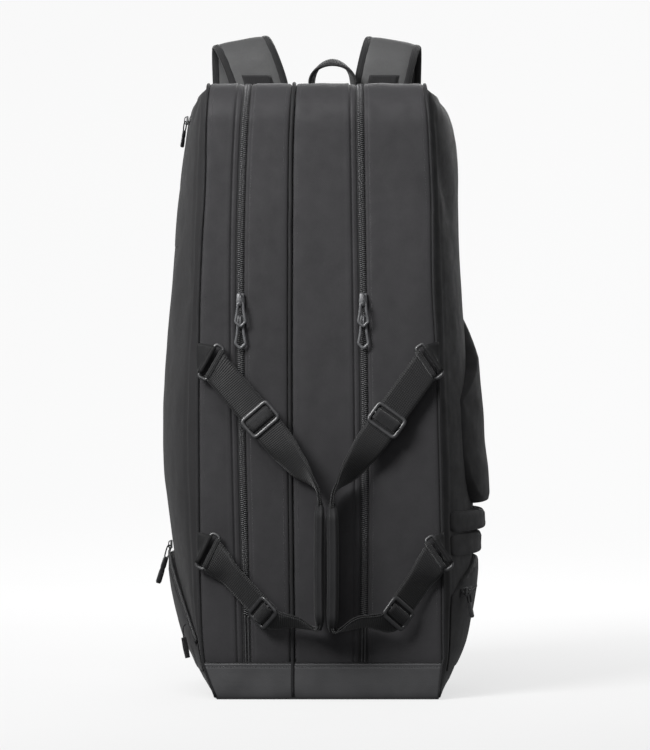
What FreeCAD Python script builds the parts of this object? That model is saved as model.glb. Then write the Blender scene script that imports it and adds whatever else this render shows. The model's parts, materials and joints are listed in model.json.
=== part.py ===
import FreeCAD, Part
import math
import os

os.makedirs("parts", exist_ok=True)

# A tall racket tournament bag that stands on its base.
# +Z is up, -Y is the zipped opening side, +Y is the spine with the shoulder straps.
# The origin is on the floor plane under the middle of the bag.

# ---- driving dimensions, in millimetres ----
HEIGHT = 768.0  # base to top panel
FRONT = -165.0  # outer plane of the zipped gusset
BACK = 165.0  # outer plane of the spine
TOP_R = 55.0  # radius where the gusset turns over the top
REAR_R = 40.0  # radius of the face panels' rear top corner
SKIN = 3.5  # padded gusset thickness
WALL = 4.0  # padded face panel thickness
SPINE = 8.0  # padded spine thickness
BOOT_H = 44.0  # height of the coated boot above the floor
BASE_T = 5.0  # thickness of the base panel
TAPE_HALF = 10.0  # from the middle of a zip to the sewn fabric edge
CHAIN_HALF = 3.4  # half width of the zip chain
WEB_W = 38.0  # carry-handle webbing width
WEB_T = 4.0  # two layers of webbing
SLIP = 0.4  # general running clearance
SLIDER_GAP = 0.8  # between the chain and a slider's body

# (z, x) lines on the gusset
LEFT_EDGE = [(-6, -131), (0, -134), (28, -145), (88, -153), (160, -155), (255, -156), (443, -156),
             (574, -152), (645, -148), (731, -147), (768, -144), (774, -143)]
LEFT_ZIP = [(-6, -95), (44, -96), (186, -99.5), (285, -102), (480, -105), (640, -103),
            (768, -96), (774, -95.5)]
CENTRE_LINE = [(-6, -40), (0, -40), (285, -43), (620, -43), (768, -38.5), (774, -38)]
RIGHT_ZIP = [(-6, 47), (44, 47.5), (265, 49.5), (480, 47.5), (640, 45), (768, 43.5), (774, 43.5)]
RIGHT_EDGE = [(-6, 138), (0, 141), (48, 146), (146, 145), (285, 142), (443, 137), (512, 133),
              (620, 132), (690, 129), (768, 123), (774, 122)]

# (z, how far the face panel swells past its seam)
LEFT_SWELL = [(6, 6), (19, 14), (50, 22), (98, 30), (151, 36), (199, 41), (269, 50), (372, 50),
              (500, 42), (629, 37), (723, 27), (750, 20), (764, 4)]
RIGHT_SWELL = [(6, 8), (19, 16), (50, 25), (98, 35), (151, 42), (199, 45), (269, 46), (372, 43),
               (500, 41), (629, 39), (723, 36), (750, 24), (764, 4)]

UPPER_SLIDER_Z = 496.5
LOWER_SLIDER_Z = 469.5

V = FreeCAD.Vector


# ---- helpers ----
def save(name, shape):
    shape.exportStep("parts/" + name + ".step")


def box(x0, x1, y0, y1, z0, z1):
    return Part.makeBox(x1 - x0, y1 - y0, z1 - z0, V(x0, y0, z0))


def at(table, z):
    """The table's value at height z, on straight lines between its rows."""
    for (z0, a), (z1, b) in zip(table, table[1:]):
        if z <= z1:
            return a + (b - a) * (z - z0) / (z1 - z0)
    return table[-1][1]


def spline(points):
    curve = Part.BSplineCurve()
    curve.interpolate(points)
    return curve.toShape()


def polygon_prism(points, direction):
    wire = Part.makePolygon(points + [points[0]])
    return Part.Face(wire).extrude(direction)


def seam_prism(low, low_shift, high, high_shift, z0, z1):
    """Everything between two seam lines of the gusset, seen from the front."""
    a = spline([V(x + low_shift, -300, z) for z, x in low])
    b = spline([V(x + high_shift, -300, z) for z, x in high])
    a0, a1 = a.Vertexes[0].Point, a.Vertexes[-1].Point
    b0, b1 = b.Vertexes[0].Point, b.Vertexes[-1].Point
    wire = Part.Wire([a, Part.makeLine(a1, b1), b, Part.makeLine(b0, a0)])
    prism = Part.Face(wire).extrude(V(0, 700, 0))
    return prism.common(box(-400, 400, -310, 410, z0, z1))


def gusset_band(outer, inner, y_end=BACK - SPINE - SLIP):
    """The gusset's side profile, up the front and over the top, between two depths."""
    def turn(depth):
        r = TOP_R - depth
        k = TOP_R - r * math.sqrt(0.5)
        return Part.Arc(V(-350, FRONT + depth, HEIGHT - TOP_R), V(-350, FRONT + k, HEIGHT - k),
                        V(-350, FRONT + TOP_R, HEIGHT - depth)).toShape()

    points = [V(-350, FRONT + outer, -10), V(-350, FRONT + outer, HEIGHT - TOP_R),
              V(-350, FRONT + TOP_R, HEIGHT - outer), V(-350, y_end, HEIGHT - outer),
              V(-350, y_end, HEIGHT - inner), V(-350, FRONT + TOP_R, HEIGHT - inner),
              V(-350, FRONT + inner, HEIGHT - TOP_R), V(-350, FRONT + inner, -10)]
    edges = [Part.makeLine(points[0], points[1]), turn(outer), Part.makeLine(points[2], points[3]),
             Part.makeLine(points[3], points[4]), Part.makeLine(points[4], points[5]), turn(inner),
             Part.makeLine(points[6], points[7]), Part.makeLine(points[7], points[0])]
    return Part.Face(Part.Wire(edges)).extrude(V(700, 0, 0))


def gusset_piece(outer, inner, low, low_shift, high, high_shift, z0, z1=HEIGHT + 5):
    return gusset_band(outer, inner).common(seam_prism(low, low_shift, high, high_shift, z0, z1))


def face_x(side, y, z):
    """Outer surface of a face panel: side is -1 for left and +1 for right."""
    edge = at(LEFT_EDGE if side < 0 else RIGHT_EDGE, z)
    swell = at(LEFT_SWELL if side < 0 else RIGHT_SWELL, z)
    u = min(max((y - FRONT) / (BACK - FRONT), 0.0), 1.0)
    return edge + side * swell * math.sin(math.pi * u) ** 0.7


def face_solid(side, inner, outer, ys, zs, ruled=False):
    """A sheet that follows a face panel, from depth inner to depth outer outside its surface.

    inner and outer are functions of y and z."""
    wires = []
    for z in zs:
        out = [V(face_x(side, y, z) + side * outer(y, z), y, z) for y in ys]
        back = [V(face_x(side, y, z) + side * inner(y, z), y, z) for y in reversed(ys)]
        wires.append(Part.Wire([spline(out), Part.makeLine(out[-1], back[0]), spline(back),
                                Part.makeLine(back[-1], out[0])]))
    return Part.makeLoft(wires, True, ruled)


def side_outline(points):
    """A prism along X over an outline of (y, z) points."""
    return polygon_prism([V(-400, y, z) for y, z in points], V(800, 0, 0))


def face_outline():
    """The face panels' outline in the side view, just inside the gusset's skin."""
    inset = SKIN + 0.7
    r = TOP_R - inset
    q = REAR_R
    y0, y1, z0, z1 = FRONT + inset, BACK, BASE_T + 1.0, HEIGHT - inset
    k = r * (1 - math.sqrt(0.5))
    m = q * (1 - math.sqrt(0.5))
    edges = [Part.makeLine(V(-400, y0, z0), V(-400, y0, z1 - r)),
             Part.Arc(V(-400, y0, z1 - r), V(-400, y0 + k, z1 - k), V(-400, y0 + r, z1)).toShape(),
             Part.makeLine(V(-400, y0 + r, z1), V(-400, y1 - q, z1)),
             Part.Arc(V(-400, y1 - q, z1), V(-400, y1 - m, z1 - m), V(-400, y1, z1 - q)).toShape(),
             Part.makeLine(V(-400, y1, z1 - q), V(-400, y1, z0)),
             Part.makeLine(V(-400, y1, z0), V(-400, y0, z0))]
    return Part.Face(Part.Wire(edges)).extrude(V(800, 0, 0))


FACE_YS = [FRONT + (BACK - FRONT) * u for u in (0, 0.03, 0.08, 0.18, 0.34, 0.5, 0.66, 0.82, 0.92, 0.97, 1)]
FACE_ZS = [6, 19, 50, 98, 151, 199, 269, 372, 500, 629, 723, 750, 764]


def ribbon(stations, thick):
    """A flat strap through stations of (point, width direction, width).

    Its first end keeps its width direction as given, so it may start on the slant."""
    wires = []
    for i, (p, w, width) in enumerate(stations):
        a = stations[max(i - 1, 0)][0]
        b = stations[min(i + 1, len(stations) - 1)][0]
        t = (b - a).normalize()
        if i:
            w = (w - t * w.dot(t)).normalize()
        n = t.cross(w).normalize()
        corners = [p + w * (width / 2 * i1) + n * (thick / 2 * i2)
                   for i1, i2 in ((-1, -1), (1, -1), (1, 1), (-1, 1))]
        wires.append(Part.makePolygon(corners + [corners[0]]))
    return Part.makeLoft(wires, True, True)


def placed(shape, origin, u, w):
    """Put a shape drawn with X along u and Y along w at origin."""
    n = u.cross(w)
    moved = shape.copy()
    moved.Placement = FreeCAD.Placement(origin, FreeCAD.Rotation(u, w, n, "XYZ"))
    return moved


# ---- core: spine, base, divider and the inner gusset strips ----
def make_core():
    spine = box(-400, 400, BACK - SPINE, BACK, BASE_T + 0.2, HEIGHT)
    edge = WALL + 3.6
    spine = spine.common(seam_prism(LEFT_EDGE, edge, RIGHT_EDGE, -edge, BASE_T + 0.2, HEIGHT - 1))
    save("spine_panel", spine)

    base = seam_prism(LEFT_EDGE, 0, RIGHT_EDGE, 0, 0, BASE_T).common(box(-400, 400, FRONT, BACK, 0, BASE_T))
    save("base_panel", base)
    board = box(-126, 133, FRONT + 6, BACK - SPINE - 1, BASE_T + 0.2, BASE_T + 3.2)
    save("base_board", board)
    boot = seam_prism(LEFT_EDGE, 1, RIGHT_EDGE, -1, BASE_T + 0.2, BOOT_H)
    boot = boot.common(box(-400, 400, FRONT - 0.8, FRONT + SKIN, 0, BOOT_H))
    save("boot_band", boot)

    divider = seam_prism(CENTRE_LINE, -1.5, CENTRE_LINE, 1.5, BASE_T + 3.4, HEIGHT - SKIN - 1.8)
    divider = divider.common(gusset_inside(SKIN + 1.6))
    save("centre_divider", divider)

    z0 = BOOT_H + SLIP
    save("left_inner_gusset", gusset_piece(0, SKIN, LEFT_ZIP, TAPE_HALF, CENTRE_LINE, -3, z0))
    save("right_inner_gusset", gusset_piece(0, SKIN, CENTRE_LINE, 3, RIGHT_ZIP, -TAPE_HALF, z0))
    save("centre_piping", gusset_piece(-2, SKIN, CENTRE_LINE, -2.9, CENTRE_LINE, 2.9, z0))
    save("left_inner_zip", zip_half(LEFT_ZIP, 1, z0))
    save("right_inner_zip", zip_half(RIGHT_ZIP, -1, z0))


def gusset_inside(inset):
    """The space inside the gusset, drawn as its side view and run along X."""
    r = TOP_R - inset
    k = r * (1 - math.sqrt(0.5))
    y0, y1, z0, z1 = FRONT + inset, BACK - SPINE - SLIP, 0, HEIGHT - inset
    edges = [Part.makeLine(V(-350, y0, z0), V(-350, y0, z1 - r)),
             Part.Arc(V(-350, y0, z1 - r), V(-350, y0 + k, z1 - k), V(-350, y0 + r, z1)).toShape(),
             Part.makeLine(V(-350, y0 + r, z1), V(-350, y1, z1)),
             Part.makeLine(V(-350, y1, z1), V(-350, y1, z0)),
             Part.makeLine(V(-350, y1, z0), V(-350, y0, z0))]
    return Part.Face(Part.Wire(edges)).extrude(V(700, 0, 0))


def zip_half(line, side, z0):
    """One half of a zip: its tape behind the gusset's edge and its half of the chain."""
    def between(near, far):
        if side > 0:
            return (line, near, line, far)
        return (line, -far, line, -near)
    tape = gusset_piece(SKIN, SKIN + 1.2, *between(0.3, TAPE_HALF + 6), z0)
    chain = gusset_piece(0, SKIN + 0.5, *between(0.3, CHAIN_HALF), z0)
    return tape.fuse(chain)


# ---- shells: a face panel, its gusset strip, zip half, piping and ring tabs ----
def make_shell(name, side):
    edge = LEFT_EDGE if side < 0 else RIGHT_EDGE
    line = LEFT_ZIP if side < 0 else RIGHT_ZIP
    z0 = BOOT_H + SLIP
    panel = make_panel(side)
    save(name + "_face_panel", panel)
    if side < 0:
        strip = gusset_piece(0, SKIN, edge, 3, line, -TAPE_HALF, z0)
        piping = gusset_piece(-1.5, SKIN, edge, -2.6, edge, 2.8, z0)
    else:
        strip = gusset_piece(0, SKIN, line, TAPE_HALF, edge, -3, z0)
        piping = gusset_piece(-1.5, SKIN, edge, -2.8, edge, 2.6, z0)
    save(name + "_outer_gusset", strip)
    save(name + "_edge_piping", piping)
    save(name + "_outer_zip", zip_half(line, side, z0))
    return panel


def make_panel(side):
    panel = face_solid(side, lambda y, z: -WALL, lambda y, z: 0.0, FACE_YS, FACE_ZS)
    return panel.common(face_outline())


def pillow(y, y0, y1, rim, crown):
    """Thickness across a padded patch: rim at its front and rear border, crown between them."""
    a = min(max((y - y0) / (y1 - y0), 0.0), 1.0)
    return rim + (crown - rim) * math.sin(math.pi * a) ** 0.45


def patch(side, panel, y0, y1, crowns, rim, outline):
    """A padded pocket that lies on a face panel, cut to its outline of (y, z) points.

    crowns is a table of (z, thickness in the middle)."""
    ys = [y0 + (y1 - y0) * u for u in (0, 0.04, 0.12, 0.25, 0.5, 0.75, 0.88, 0.96, 1)]
    zs = [z for z, crown in crowns]
    zs = sorted(zs + [(a + b) / 2 for a, b in zip(zs, zs[1:]) if b - a > 15])
    solid = face_solid(side, lambda y, z: -2.0, lambda y, z: pillow(y, y0, y1, rim, at(crowns, z)), ys, zs, True)
    return solid.common(side_outline(outline)).cut(panel)


def rounded(y0, y1, z0, z1, r, steps=5):
    """An outline of (y, z) points with round corners."""
    points = []
    for cy, cz, start in ((y1 - r, z1 - r, 0), (y0 + r, z1 - r, 90), (y0 + r, z0 + r, 180),
                          (y1 - r, z0 + r, 270)):
        for i in range(steps + 1):
            a = math.radians(start + 90 * i / steps)
            points.append((cy + r * math.cos(a), cz + r * math.sin(a)))
    return points


def make_pockets(left, right):
    """The pockets on the left and right face panels."""
    slim = [(564, 1.2), (584, 2.0), (718, 2.0), (735, 1.2)]
    save("left_upper_pocket", patch(-1, left, -112, 112, slim, 1.0, rounded(-110, 110, 566, 733, 30)))
    low = [(30, 1.5), (50, 2.0), (62, 5.0), (97, 6.5), (130, 9.0), (155, 10.0), (182, 7.0)]
    opening = [(-146, 34), (-146, 70), (-118, 104), (-76, 142), (-34, 166), (4, 177), (104, 177),
               (126, 160), (134, 130), (134, 50), (120, 34)]
    save("left_lower_pocket", patch(-1, left, -150, 138, low, 1.5, opening))
    big = [(236, 15), (244, 21), (252, 23), (285, 22.5), (320, 19), (425, 18), (450, 12), (481, 5), (504, 2.5)]
    slanted = [(-104, 300), (-104, 372), (-80, 392), (-50, 412), (-10, 444), (40, 480), (84, 498), (100, 496),
               (110, 484), (110, 280), (100, 250), (80, 240), (-50, 240), (-80, 250), (-97, 272)]
    save("right_main_pocket", patch(1, right, -106, 112, big, 3.0, slanted))
    wide = [(206, 13), (211, 17.5), (227, 16.5), (234, 12)]
    band_1 = patch(1, right, -151, 120, wide, 3.0, rounded(-149, 118, 207, 233, 9))
    less = [(175, 9), (181, 12.5), (198, 12.5), (205, 9)]
    band_2 = patch(1, right, -151, 120, less, 2.5, rounded(-149, 118, 177, 204, 9))
    save("right_rib_pads", Part.makeCompound([band_1, band_2]))
    full = [(30, 2.5), (60, 6.0), (100, 8.0), (130, 9.3), (155, 9.3), (176, 8.0)]
    mirrored = [(-146, 34), (-146, 128), (-112, 146), (-73, 158), (-40, 167), (4, 173), (104, 173),
                (126, 158), (134, 128), (134, 50), (120, 34)]
    save("right_lower_pocket", patch(1, right, -150, 138, full, 2.5, mirrored))


# ---- zip sliders and their hollow pulls ----
def slider_body(stand):
    """A slider seen from the front: X across, Z along the zip, its back face at y = 0.

    stand is how much further out its bridge holds the pull."""
    plate = polygon_prism([V(-5.4, 0, -8), V(-4.2, 0, 8), V(4.2, 0, 8), V(5.4, 0, -8)], V(0, -4, 0))
    bridge = box(-1.3, 1.3, -8.2 - stand, -4, -8, 6.5)
    slot = box(-2, 2, -7.0 - stand, -4 - stand, -7.2, -2.0)
    return plate.fuse(bridge.cut(slot))


def pull_loop():
    """A kite-shaped hollow pull that hangs from its crossbar at the origin."""
    outer = [V(-4.2, 0, 0.9), V(4.2, 0, 0.9), V(5.0, 0, -8), V(7.4, 0, -22.5), V(0, 0, -30),
             V(-7.4, 0, -22.5), V(-5.0, 0, -8)]
    inner = [V(-2.4, 0, -0.9), V(2.4, 0, -0.9), V(2.9, 0, -8), V(4.7, 0, -21.4), V(0, 0, -26.6),
             V(-4.7, 0, -21.4), V(-2.9, 0, -8)]
    loop = polygon_prism(outer, V(0, 1.8, 0)).cut(polygon_prism(inner, V(0, 1.8, 0)))
    loop.translate(V(0, -0.9, 0))
    return loop


def make_sliders():
    for name, line in (("left", LEFT_ZIP), ("right", RIGHT_ZIP)):
        for level, z, stand in (("upper", UPPER_SLIDER_Z, 4.2), ("lower", LOWER_SLIDER_Z, 0.0)):
            x = at(line, z)
            body = slider_body(stand)
            body.translate(V(x, FRONT - SLIDER_GAP, z))
            save(name + "_" + level + "_slider", body)
            pull = pull_loop()
            pull.translate(V(x, FRONT - SLIDER_GAP - 5.5 - stand, z - 4.6))
            save(name + "_" + level + "_pull", pull)


# ---- side pocket zips ----
# (node, side, y, z, stand-off from the panel, how far the pull leans out, cord and tab lengths)
SIDE_ZIPS = [("left_top", -1, -75.0, 725.0, 3.9, 8.0, 11.0, 22.0),
             ("left_low", -1, -6.0, 186.0, 1.0, 17.0, 15.0, 36.0),
             ("right_low", 1, -118.0, 131.0, 8.9, 9.0, 11.0, 20.0)]


def make_side_zips():
    for name, side, y, z, lift, lean, cord, tab in SIDE_ZIPS:
        x = face_x(side, y, z) + side * lift
        x0, x1 = sorted((x, x + side * 2.6))
        body = box(x0, x1, y - 4.0, y + 4.0, z - 5.5, z + 5.5)
        x0, x1 = sorted((x + side * 2.6, x + side * 5.4))
        bridge = box(x0, x1, y - 1.2, y + 1.2, z - 4.8, z + 4.8)
        x0, x1 = sorted((x + side * 2.6, x + side * 4.5))
        slot = box(x0, x1, y - 2, y + 2, z - 4.0, z + 0.4)
        save(name + "_slider", body.fuse(bridge.cut(slot)))
        save(name + "_pull", side_pull(side, V(x + side * 3.55, y, z - 1.8), lean, cord, tab))


def side_pull(side, pivot, lean, cord_length, tab_length):
    """A cord loop and a flat tab, drawn hanging from the origin and leaned away from the bag."""
    cord = box(-0.55, 0.55, -3.4, 3.4, -cord_length, 0.55)
    cord = cord.cut(box(-1, 1, -2.1, 2.1, -cord_length, -0.55))
    tab = box(-1.3, 1.3, -4.0, 4.0, -cord_length - tab_length, -cord_length)
    pull = cord.fuse(tab)
    pull.rotate(V(0, 0, 0), V(0, 1, 0), -side * lean)
    pull.translate(pivot)
    return pull


# ---- carry handles: rings, webbing, grip and adjusters ----
# Per handle: (ring centre, webbing direction), adjuster centre and grip, in x and z on the gusset.
RING_Y = -177.0
AXIS_Y = -173.0
GRIP_Y = -200.0
HANDLES = {
    "left": {"side": -1, "axis_x": -167.0, "grip_x": -6.6, "grip_w": 12.8, "grip_z": (89.0, 249.0),
             "upper": ((-141.0, 419.0), (-80.0, 348.0), 0.0),
             "lower": ((-145.0, 185.0), (-75.0, 111.0), -42.0)},
    "right": {"side": 1, "axis_x": 162.0, "grip_x": 8.6, "grip_w": 15.0, "grip_z": (86.0, 246.0),
              "upper": ((129.0, 420.0), (76.0, 347.0), 0.0),
              "lower": ((141.0, 183.0), (88.5, 110.0), 42.0)},
}
RING_L, RING_W, RING_BAR, RING_T = 50.0, 16.0, 4.4, 4.6
RING_SLANT = 20.0  # degrees between a ring's short side and the webbing that leaves it
GLIDE_L, GLIDE_W, GLIDE_T = 31.0, 44.0, 4.0


def run_frame(start, glide, tilt):
    """The straight webbing run from a ring to its adjuster: start, glide point and directions."""
    p0 = V(start[0], RING_Y, start[1])
    p1 = V(glide[0], RING_Y - (7.0 if tilt == 0 else 14.6), glide[1])
    u = (p1 - p0).normalize()
    flat = u.cross(V(0, -1, 0)).normalize()
    n = flat.cross(u)
    a = math.radians(tilt)
    tilted = flat * math.cos(a) + n * math.sin(a)
    return p0, p1, u, flat, tilted


def ring_axes(u, flat):
    """A ring's short and long directions; it hangs steeper than square to its webbing."""
    a = math.radians(RING_SLANT) * (1 if flat.z * u.z > 0 else -1)
    return u * math.cos(a) - flat * math.sin(a), flat * math.cos(a) + u * math.sin(a)


def ring(p0, u, w):
    outer = Part.makeBox(RING_W, RING_L, RING_T, V(-RING_W / 2, -RING_L / 2, -RING_T / 2))
    inner = Part.makeBox(RING_W - 2 * RING_BAR, RING_L - 2 * RING_BAR, RING_T,
                         V(RING_BAR - RING_W / 2, RING_BAR - RING_L / 2, -RING_T / 2))
    loop = outer.cut(inner)
    upright = [e for e in outer.Edges if abs(e.tangentAt(e.FirstParameter).z) > 0.9]
    rounded_outer = outer.makeFillet(3.5, upright)
    return placed(loop.common(rounded_outer), p0, u, w)


def glide(p1, u, w, lift):
    """A three-bar adjuster that lies just in front of the webbing."""
    def bar(x0, x1, y0, y1):
        return Part.makeBox(x1 - x0, y1 - y0, GLIDE_T, V(x0, y0, lift))
    half_l, half_w = GLIDE_L / 2, GLIDE_W / 2
    outer = bar(-half_l, half_l, -half_w, half_w)
    upright = [e for e in outer.Edges if abs(e.tangentAt(e.FirstParameter).z) > 0.9]
    outer = outer.makeFillet(3.0, upright)
    slot = bar(-half_l + 4.0, -2.2, -half_w + 3.2, half_w - 3.2)
    other = bar(2.2, half_l - 4.0, -half_w + 3.2, half_w - 3.2)
    return placed(outer.cut(slot).cut(other), p1, u, w)


def handle_webbing(side, start, glide_at, tilt, grip_x, grip_end, up):
    """Webbing from beside the ring, past the adjuster, turning edge-on to meet the grip."""
    p0, p1, u, flat, tilted = run_frame(start, glide_at, tilt)
    slant = math.cos(math.radians(RING_SLANT))
    first = p0 + u * ((RING_W / 2 + 0.3) / slant)
    end = V(grip_x, GRIP_Y, grip_end)
    before = V(grip_x, GRIP_Y, grip_end + (14.0 if up else -4.0))
    leave = p1 + u * (26.0 if up else 17.0)
    edge = V(0, -side, 0)
    half = (flat + tilted).normalize()
    stations = [(first, ring_axes(u, flat)[1], WEB_W / slant), (first + u * 12.0, half, WEB_W),
                (first + u * 24.0, tilted, WEB_W), (leave, tilted, WEB_W)]
    for i in range(1, 5):
        f = i / 5.0
        w = (tilted * (1 - f) + edge * f).normalize()
        rise = V(0, 0, 0 if up else 6.0 * math.sin(math.pi * f))
        stations.append((leave + (before - leave) * f + rise, w, WEB_W))
    stations.append((before, edge, WEB_W))
    stations.append((end, edge, WEB_W - 4))
    return ribbon(stations, WEB_T)


def grip(x, width, z0, z1):
    """A padded sleeve with softly pointed ends, standing edge-on from the gusset."""
    wires = []
    for f, fx, fy in ((0, 0.55, 0.62), (0.05, 0.85, 0.86), (0.14, 1, 1), (0.86, 1, 1), (0.95, 0.85, 0.86),
                      (1, 0.55, 0.62)):
        z = z0 + (z1 - z0) * f
        a, b = width / 2 * fx, 22.5 * fy
        c = min(a, b) * 0.45
        points = [(-a + c, -b), (a - c, -b), (a, -b + c), (a, b - c), (a - c, b), (-a + c, b), (-a, b - c),
                  (-a, -b + c)]
        corners = [V(x + px, GRIP_Y + py, z) for px, py in points]
        wires.append(Part.makePolygon(corners + [corners[0]]))
    return Part.makeLoft(wires, True, True)


def make_handle(name, spec):
    z0, z1 = spec["grip_z"]
    rings, tabs = [], []
    for level in ("upper", "lower"):
        start, glide_at, tilt = spec[level]
        p0, p1, u, flat, tilted = run_frame(start, glide_at, tilt)
        short, long_way = ring_axes(u, flat)
        rings.append(ring(p0, short, long_way))
        end = z1 + 0.3 if level == "upper" else z0 - 0.3
        web = handle_webbing(spec["side"], start, glide_at, tilt, spec["grip_x"], end, level == "upper")
        save(name + "_" + level + "_webbing", web)
        save(name + "_" + level + "_adjuster", glide_for(p1, u, tilted))
        tabs.append(ring_tab(start, short, long_way))
    save(name + "_rings", Part.makeCompound(rings))
    save(name + "_ring_tabs", Part.makeCompound(tabs))
    save(name + "_grip", grip(spec["grip_x"], spec["grip_w"], z0, z1))


def glide_for(p1, u, w):
    n = u.cross(w)
    lift = WEB_T / 2 + SLIP
    if n.y > 0:
        return glide(p1, u, w, -lift - GLIDE_T)
    return glide(p1, u, w, lift)


def ring_tab(start, u, flat):
    """The short doubled webbing, sewn into the edge seam, that holds a ring."""
    flat_u = V(u.x, 0, u.z).normalize()
    centre = V(start[0], FRONT - 3.4, start[1]) - flat_u * 8.0
    block = Part.makeBox(8.0, 32.0, 2.4, V(-4.0, -16.0, -1.2))
    across = flat_u.cross(V(0, -1, 0))
    return placed(block, centre, flat_u, across)


# ---- spine side: shoulder straps and the grab handle ----
STRAP_W, STRAP_T = 70.0, 9.0
STRAP_X = {"left": (-84.0, -114.0, -105.0), "right": (74.0, 92.0, 88.0)}
STRAP_PATH = [(0.00, 171, 766), (0.05, 171, 782), (0.30, 172, 806), (0.60, 178, 829), (0.85, 190, 844),
              (1.00, 205, 848), (1.02, 219, 841), (1.02, 227, 820), (0.98, 229, 785), (0.94, 224, 720),
              (0.88, 212, 620), (0.82, 201, 520), (0.76, 192, 420), (0.72, 188, 350)]


def make_straps():
    for name, (x0, x1, x2) in STRAP_X.items():
        side = -1 if name == "left" else 1
        points = [V(x0 + (x1 - x0) * f, y, z) for f, y, z in STRAP_PATH]
        stations = []
        for i, p in enumerate(points):
            lean = math.radians(10.0) * (1 if 2 <= i <= 6 else 0.3)
            width = STRAP_W if 0 < i < len(points) - 1 else STRAP_W - 14
            stations.append((p, V(math.cos(lean), 0, -side * math.sin(lean)), width))
        save(name + "_shoulder_strap", ribbon(stations, STRAP_T))
        end = points[-1]
        lock = box(-17, 17, -2.6, 2.6, -26, -0.5)
        for z0, z1 in ((-9.5, -5.0), (-22.0, -17.5)):
            lock = lock.cut(box(-13.2, 13.2, -3, 3, z0, z1))
        lock.translate(end)
        save(name + "_ladder_lock", lock)
        low = V(x2 * 1.12, BACK + 8.0, 122)
        run = [(V(end.x, end.y, end.z - 26.4), V(1, 0, 0), 25.0),
               (V(end.x * 0.7 + low.x * 0.3, end.y - 2, end.z - 90), V(1, 0, 0), 25.0),
               (low, V(1, 0, 0), 25.0)]
        save(name + "_strap_webbing", ribbon(run, 2.2))
    save("strap_anchors", Part.makeCompound(strap_anchors()))


def strap_anchors():
    """Sewn patches that hold both ends of the shoulder straps on the spine."""
    pieces = []
    for name, (x0, x1, x2) in STRAP_X.items():
        pieces.append(box(x0 - 33, x0 + 33, BACK + 0.1, BACK + 6, 690, 757))
        x = x2 * 1.12
        pieces.append(polygon_prism([V(x - 13, BACK + 0.1, 114), V(x + 13, BACK + 0.1, 114),
                                     V(x + 20, BACK + 0.1, 58), V(x - 20, BACK + 0.1, 58)], V(0, 4.4, 0)))
    return pieces


GRAB_X, GRAB_Y, GRAB_Z = 10.0, 148.0, 774.0
GRAB_HALF, GRAB_RISE = 28.0, 44.0


def make_grab_handle():
    stations = [(V(GRAB_X - GRAB_HALF, GRAB_Y, GRAB_Z), V(0, 1, 0), 10.0),
                (V(GRAB_X - GRAB_HALF, GRAB_Y, GRAB_Z + 10), V(0, 1, 0), 20.0)]
    for i in range(9):
        a = math.radians(180 - 180 * i / 8)
        stations.append((V(GRAB_X + GRAB_HALF * math.cos(a), GRAB_Y,
                           GRAB_Z + 17 + (GRAB_RISE - 17) * math.sin(a)), V(0, 1, 0), 25.0))
    stations += [(V(GRAB_X + GRAB_HALF, GRAB_Y, GRAB_Z + 10), V(0, 1, 0), 20.0),
                 (V(GRAB_X + GRAB_HALF, GRAB_Y, GRAB_Z), V(0, 1, 0), 10.0)]
    save("grab_handle", ribbon(stations, 9.0))


make_core()
make_pockets(make_shell("left", -1), make_shell("right", 1))
make_sliders()
make_side_zips()
for handle_name, handle_spec in HANDLES.items():
    make_handle(handle_name, handle_spec)
make_straps()
make_grab_handle()
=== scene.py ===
import json
import math
from functools import partial

import bmesh
import bpy
import numpy as np
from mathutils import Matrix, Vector, noise
from mathutils.bvhtree import BVHTree


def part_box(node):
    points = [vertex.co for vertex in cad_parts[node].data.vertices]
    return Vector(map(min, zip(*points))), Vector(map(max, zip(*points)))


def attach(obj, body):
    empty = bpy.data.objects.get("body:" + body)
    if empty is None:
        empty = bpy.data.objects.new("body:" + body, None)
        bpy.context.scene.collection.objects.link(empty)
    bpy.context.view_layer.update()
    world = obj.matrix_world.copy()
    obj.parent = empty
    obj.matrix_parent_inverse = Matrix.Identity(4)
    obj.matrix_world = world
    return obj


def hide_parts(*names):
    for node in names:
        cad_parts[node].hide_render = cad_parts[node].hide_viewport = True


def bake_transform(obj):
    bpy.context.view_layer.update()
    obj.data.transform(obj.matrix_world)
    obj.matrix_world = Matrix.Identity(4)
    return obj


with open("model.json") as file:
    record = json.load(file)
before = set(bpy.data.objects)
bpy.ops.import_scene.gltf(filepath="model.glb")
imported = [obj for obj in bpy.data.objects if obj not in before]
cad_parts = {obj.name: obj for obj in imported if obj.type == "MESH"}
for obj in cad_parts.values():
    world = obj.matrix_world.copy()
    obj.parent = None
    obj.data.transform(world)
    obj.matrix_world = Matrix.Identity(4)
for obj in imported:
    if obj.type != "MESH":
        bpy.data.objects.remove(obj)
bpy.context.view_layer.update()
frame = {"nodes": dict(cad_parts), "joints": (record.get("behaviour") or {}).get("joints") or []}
NODES = frame["nodes"]
JOINTS = {j["name"]: j for j in frame["joints"]}
OUTWARD = {"left": -1, "right": 1}  # which way along X a side faces

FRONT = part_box("left_outer_gusset")[0].y
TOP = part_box("left_outer_gusset")[1].z
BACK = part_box("spine_panel")[1].y
GUSSET_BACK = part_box("left_outer_gusset")[1].y
BOOT_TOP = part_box("boot_band")[1].z
TOP_R = 0.055
REAR_R = 0.040
SEAM_OUT = 0.0048  # an edge seam lies this far outside its gusset strip
STRIP_OUT = 0.0026  # the strip's cloth reaches this far out, under the piping
SWELL_FRAMES = 14  # how long a padded piece swells in its cloth simulation
STRIP_FOOT = BOOT_TOP - 0.004  # the strips end behind the boot's top edge
WEB_W = 0.038


# ---------------------------------------------------------------- node materials
def _mat(name):
    m = bpy.data.materials.new(name)
    m.use_nodes = True
    nt = m.node_tree
    return m, nt, nt.nodes["Principled BSDF"]


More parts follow.
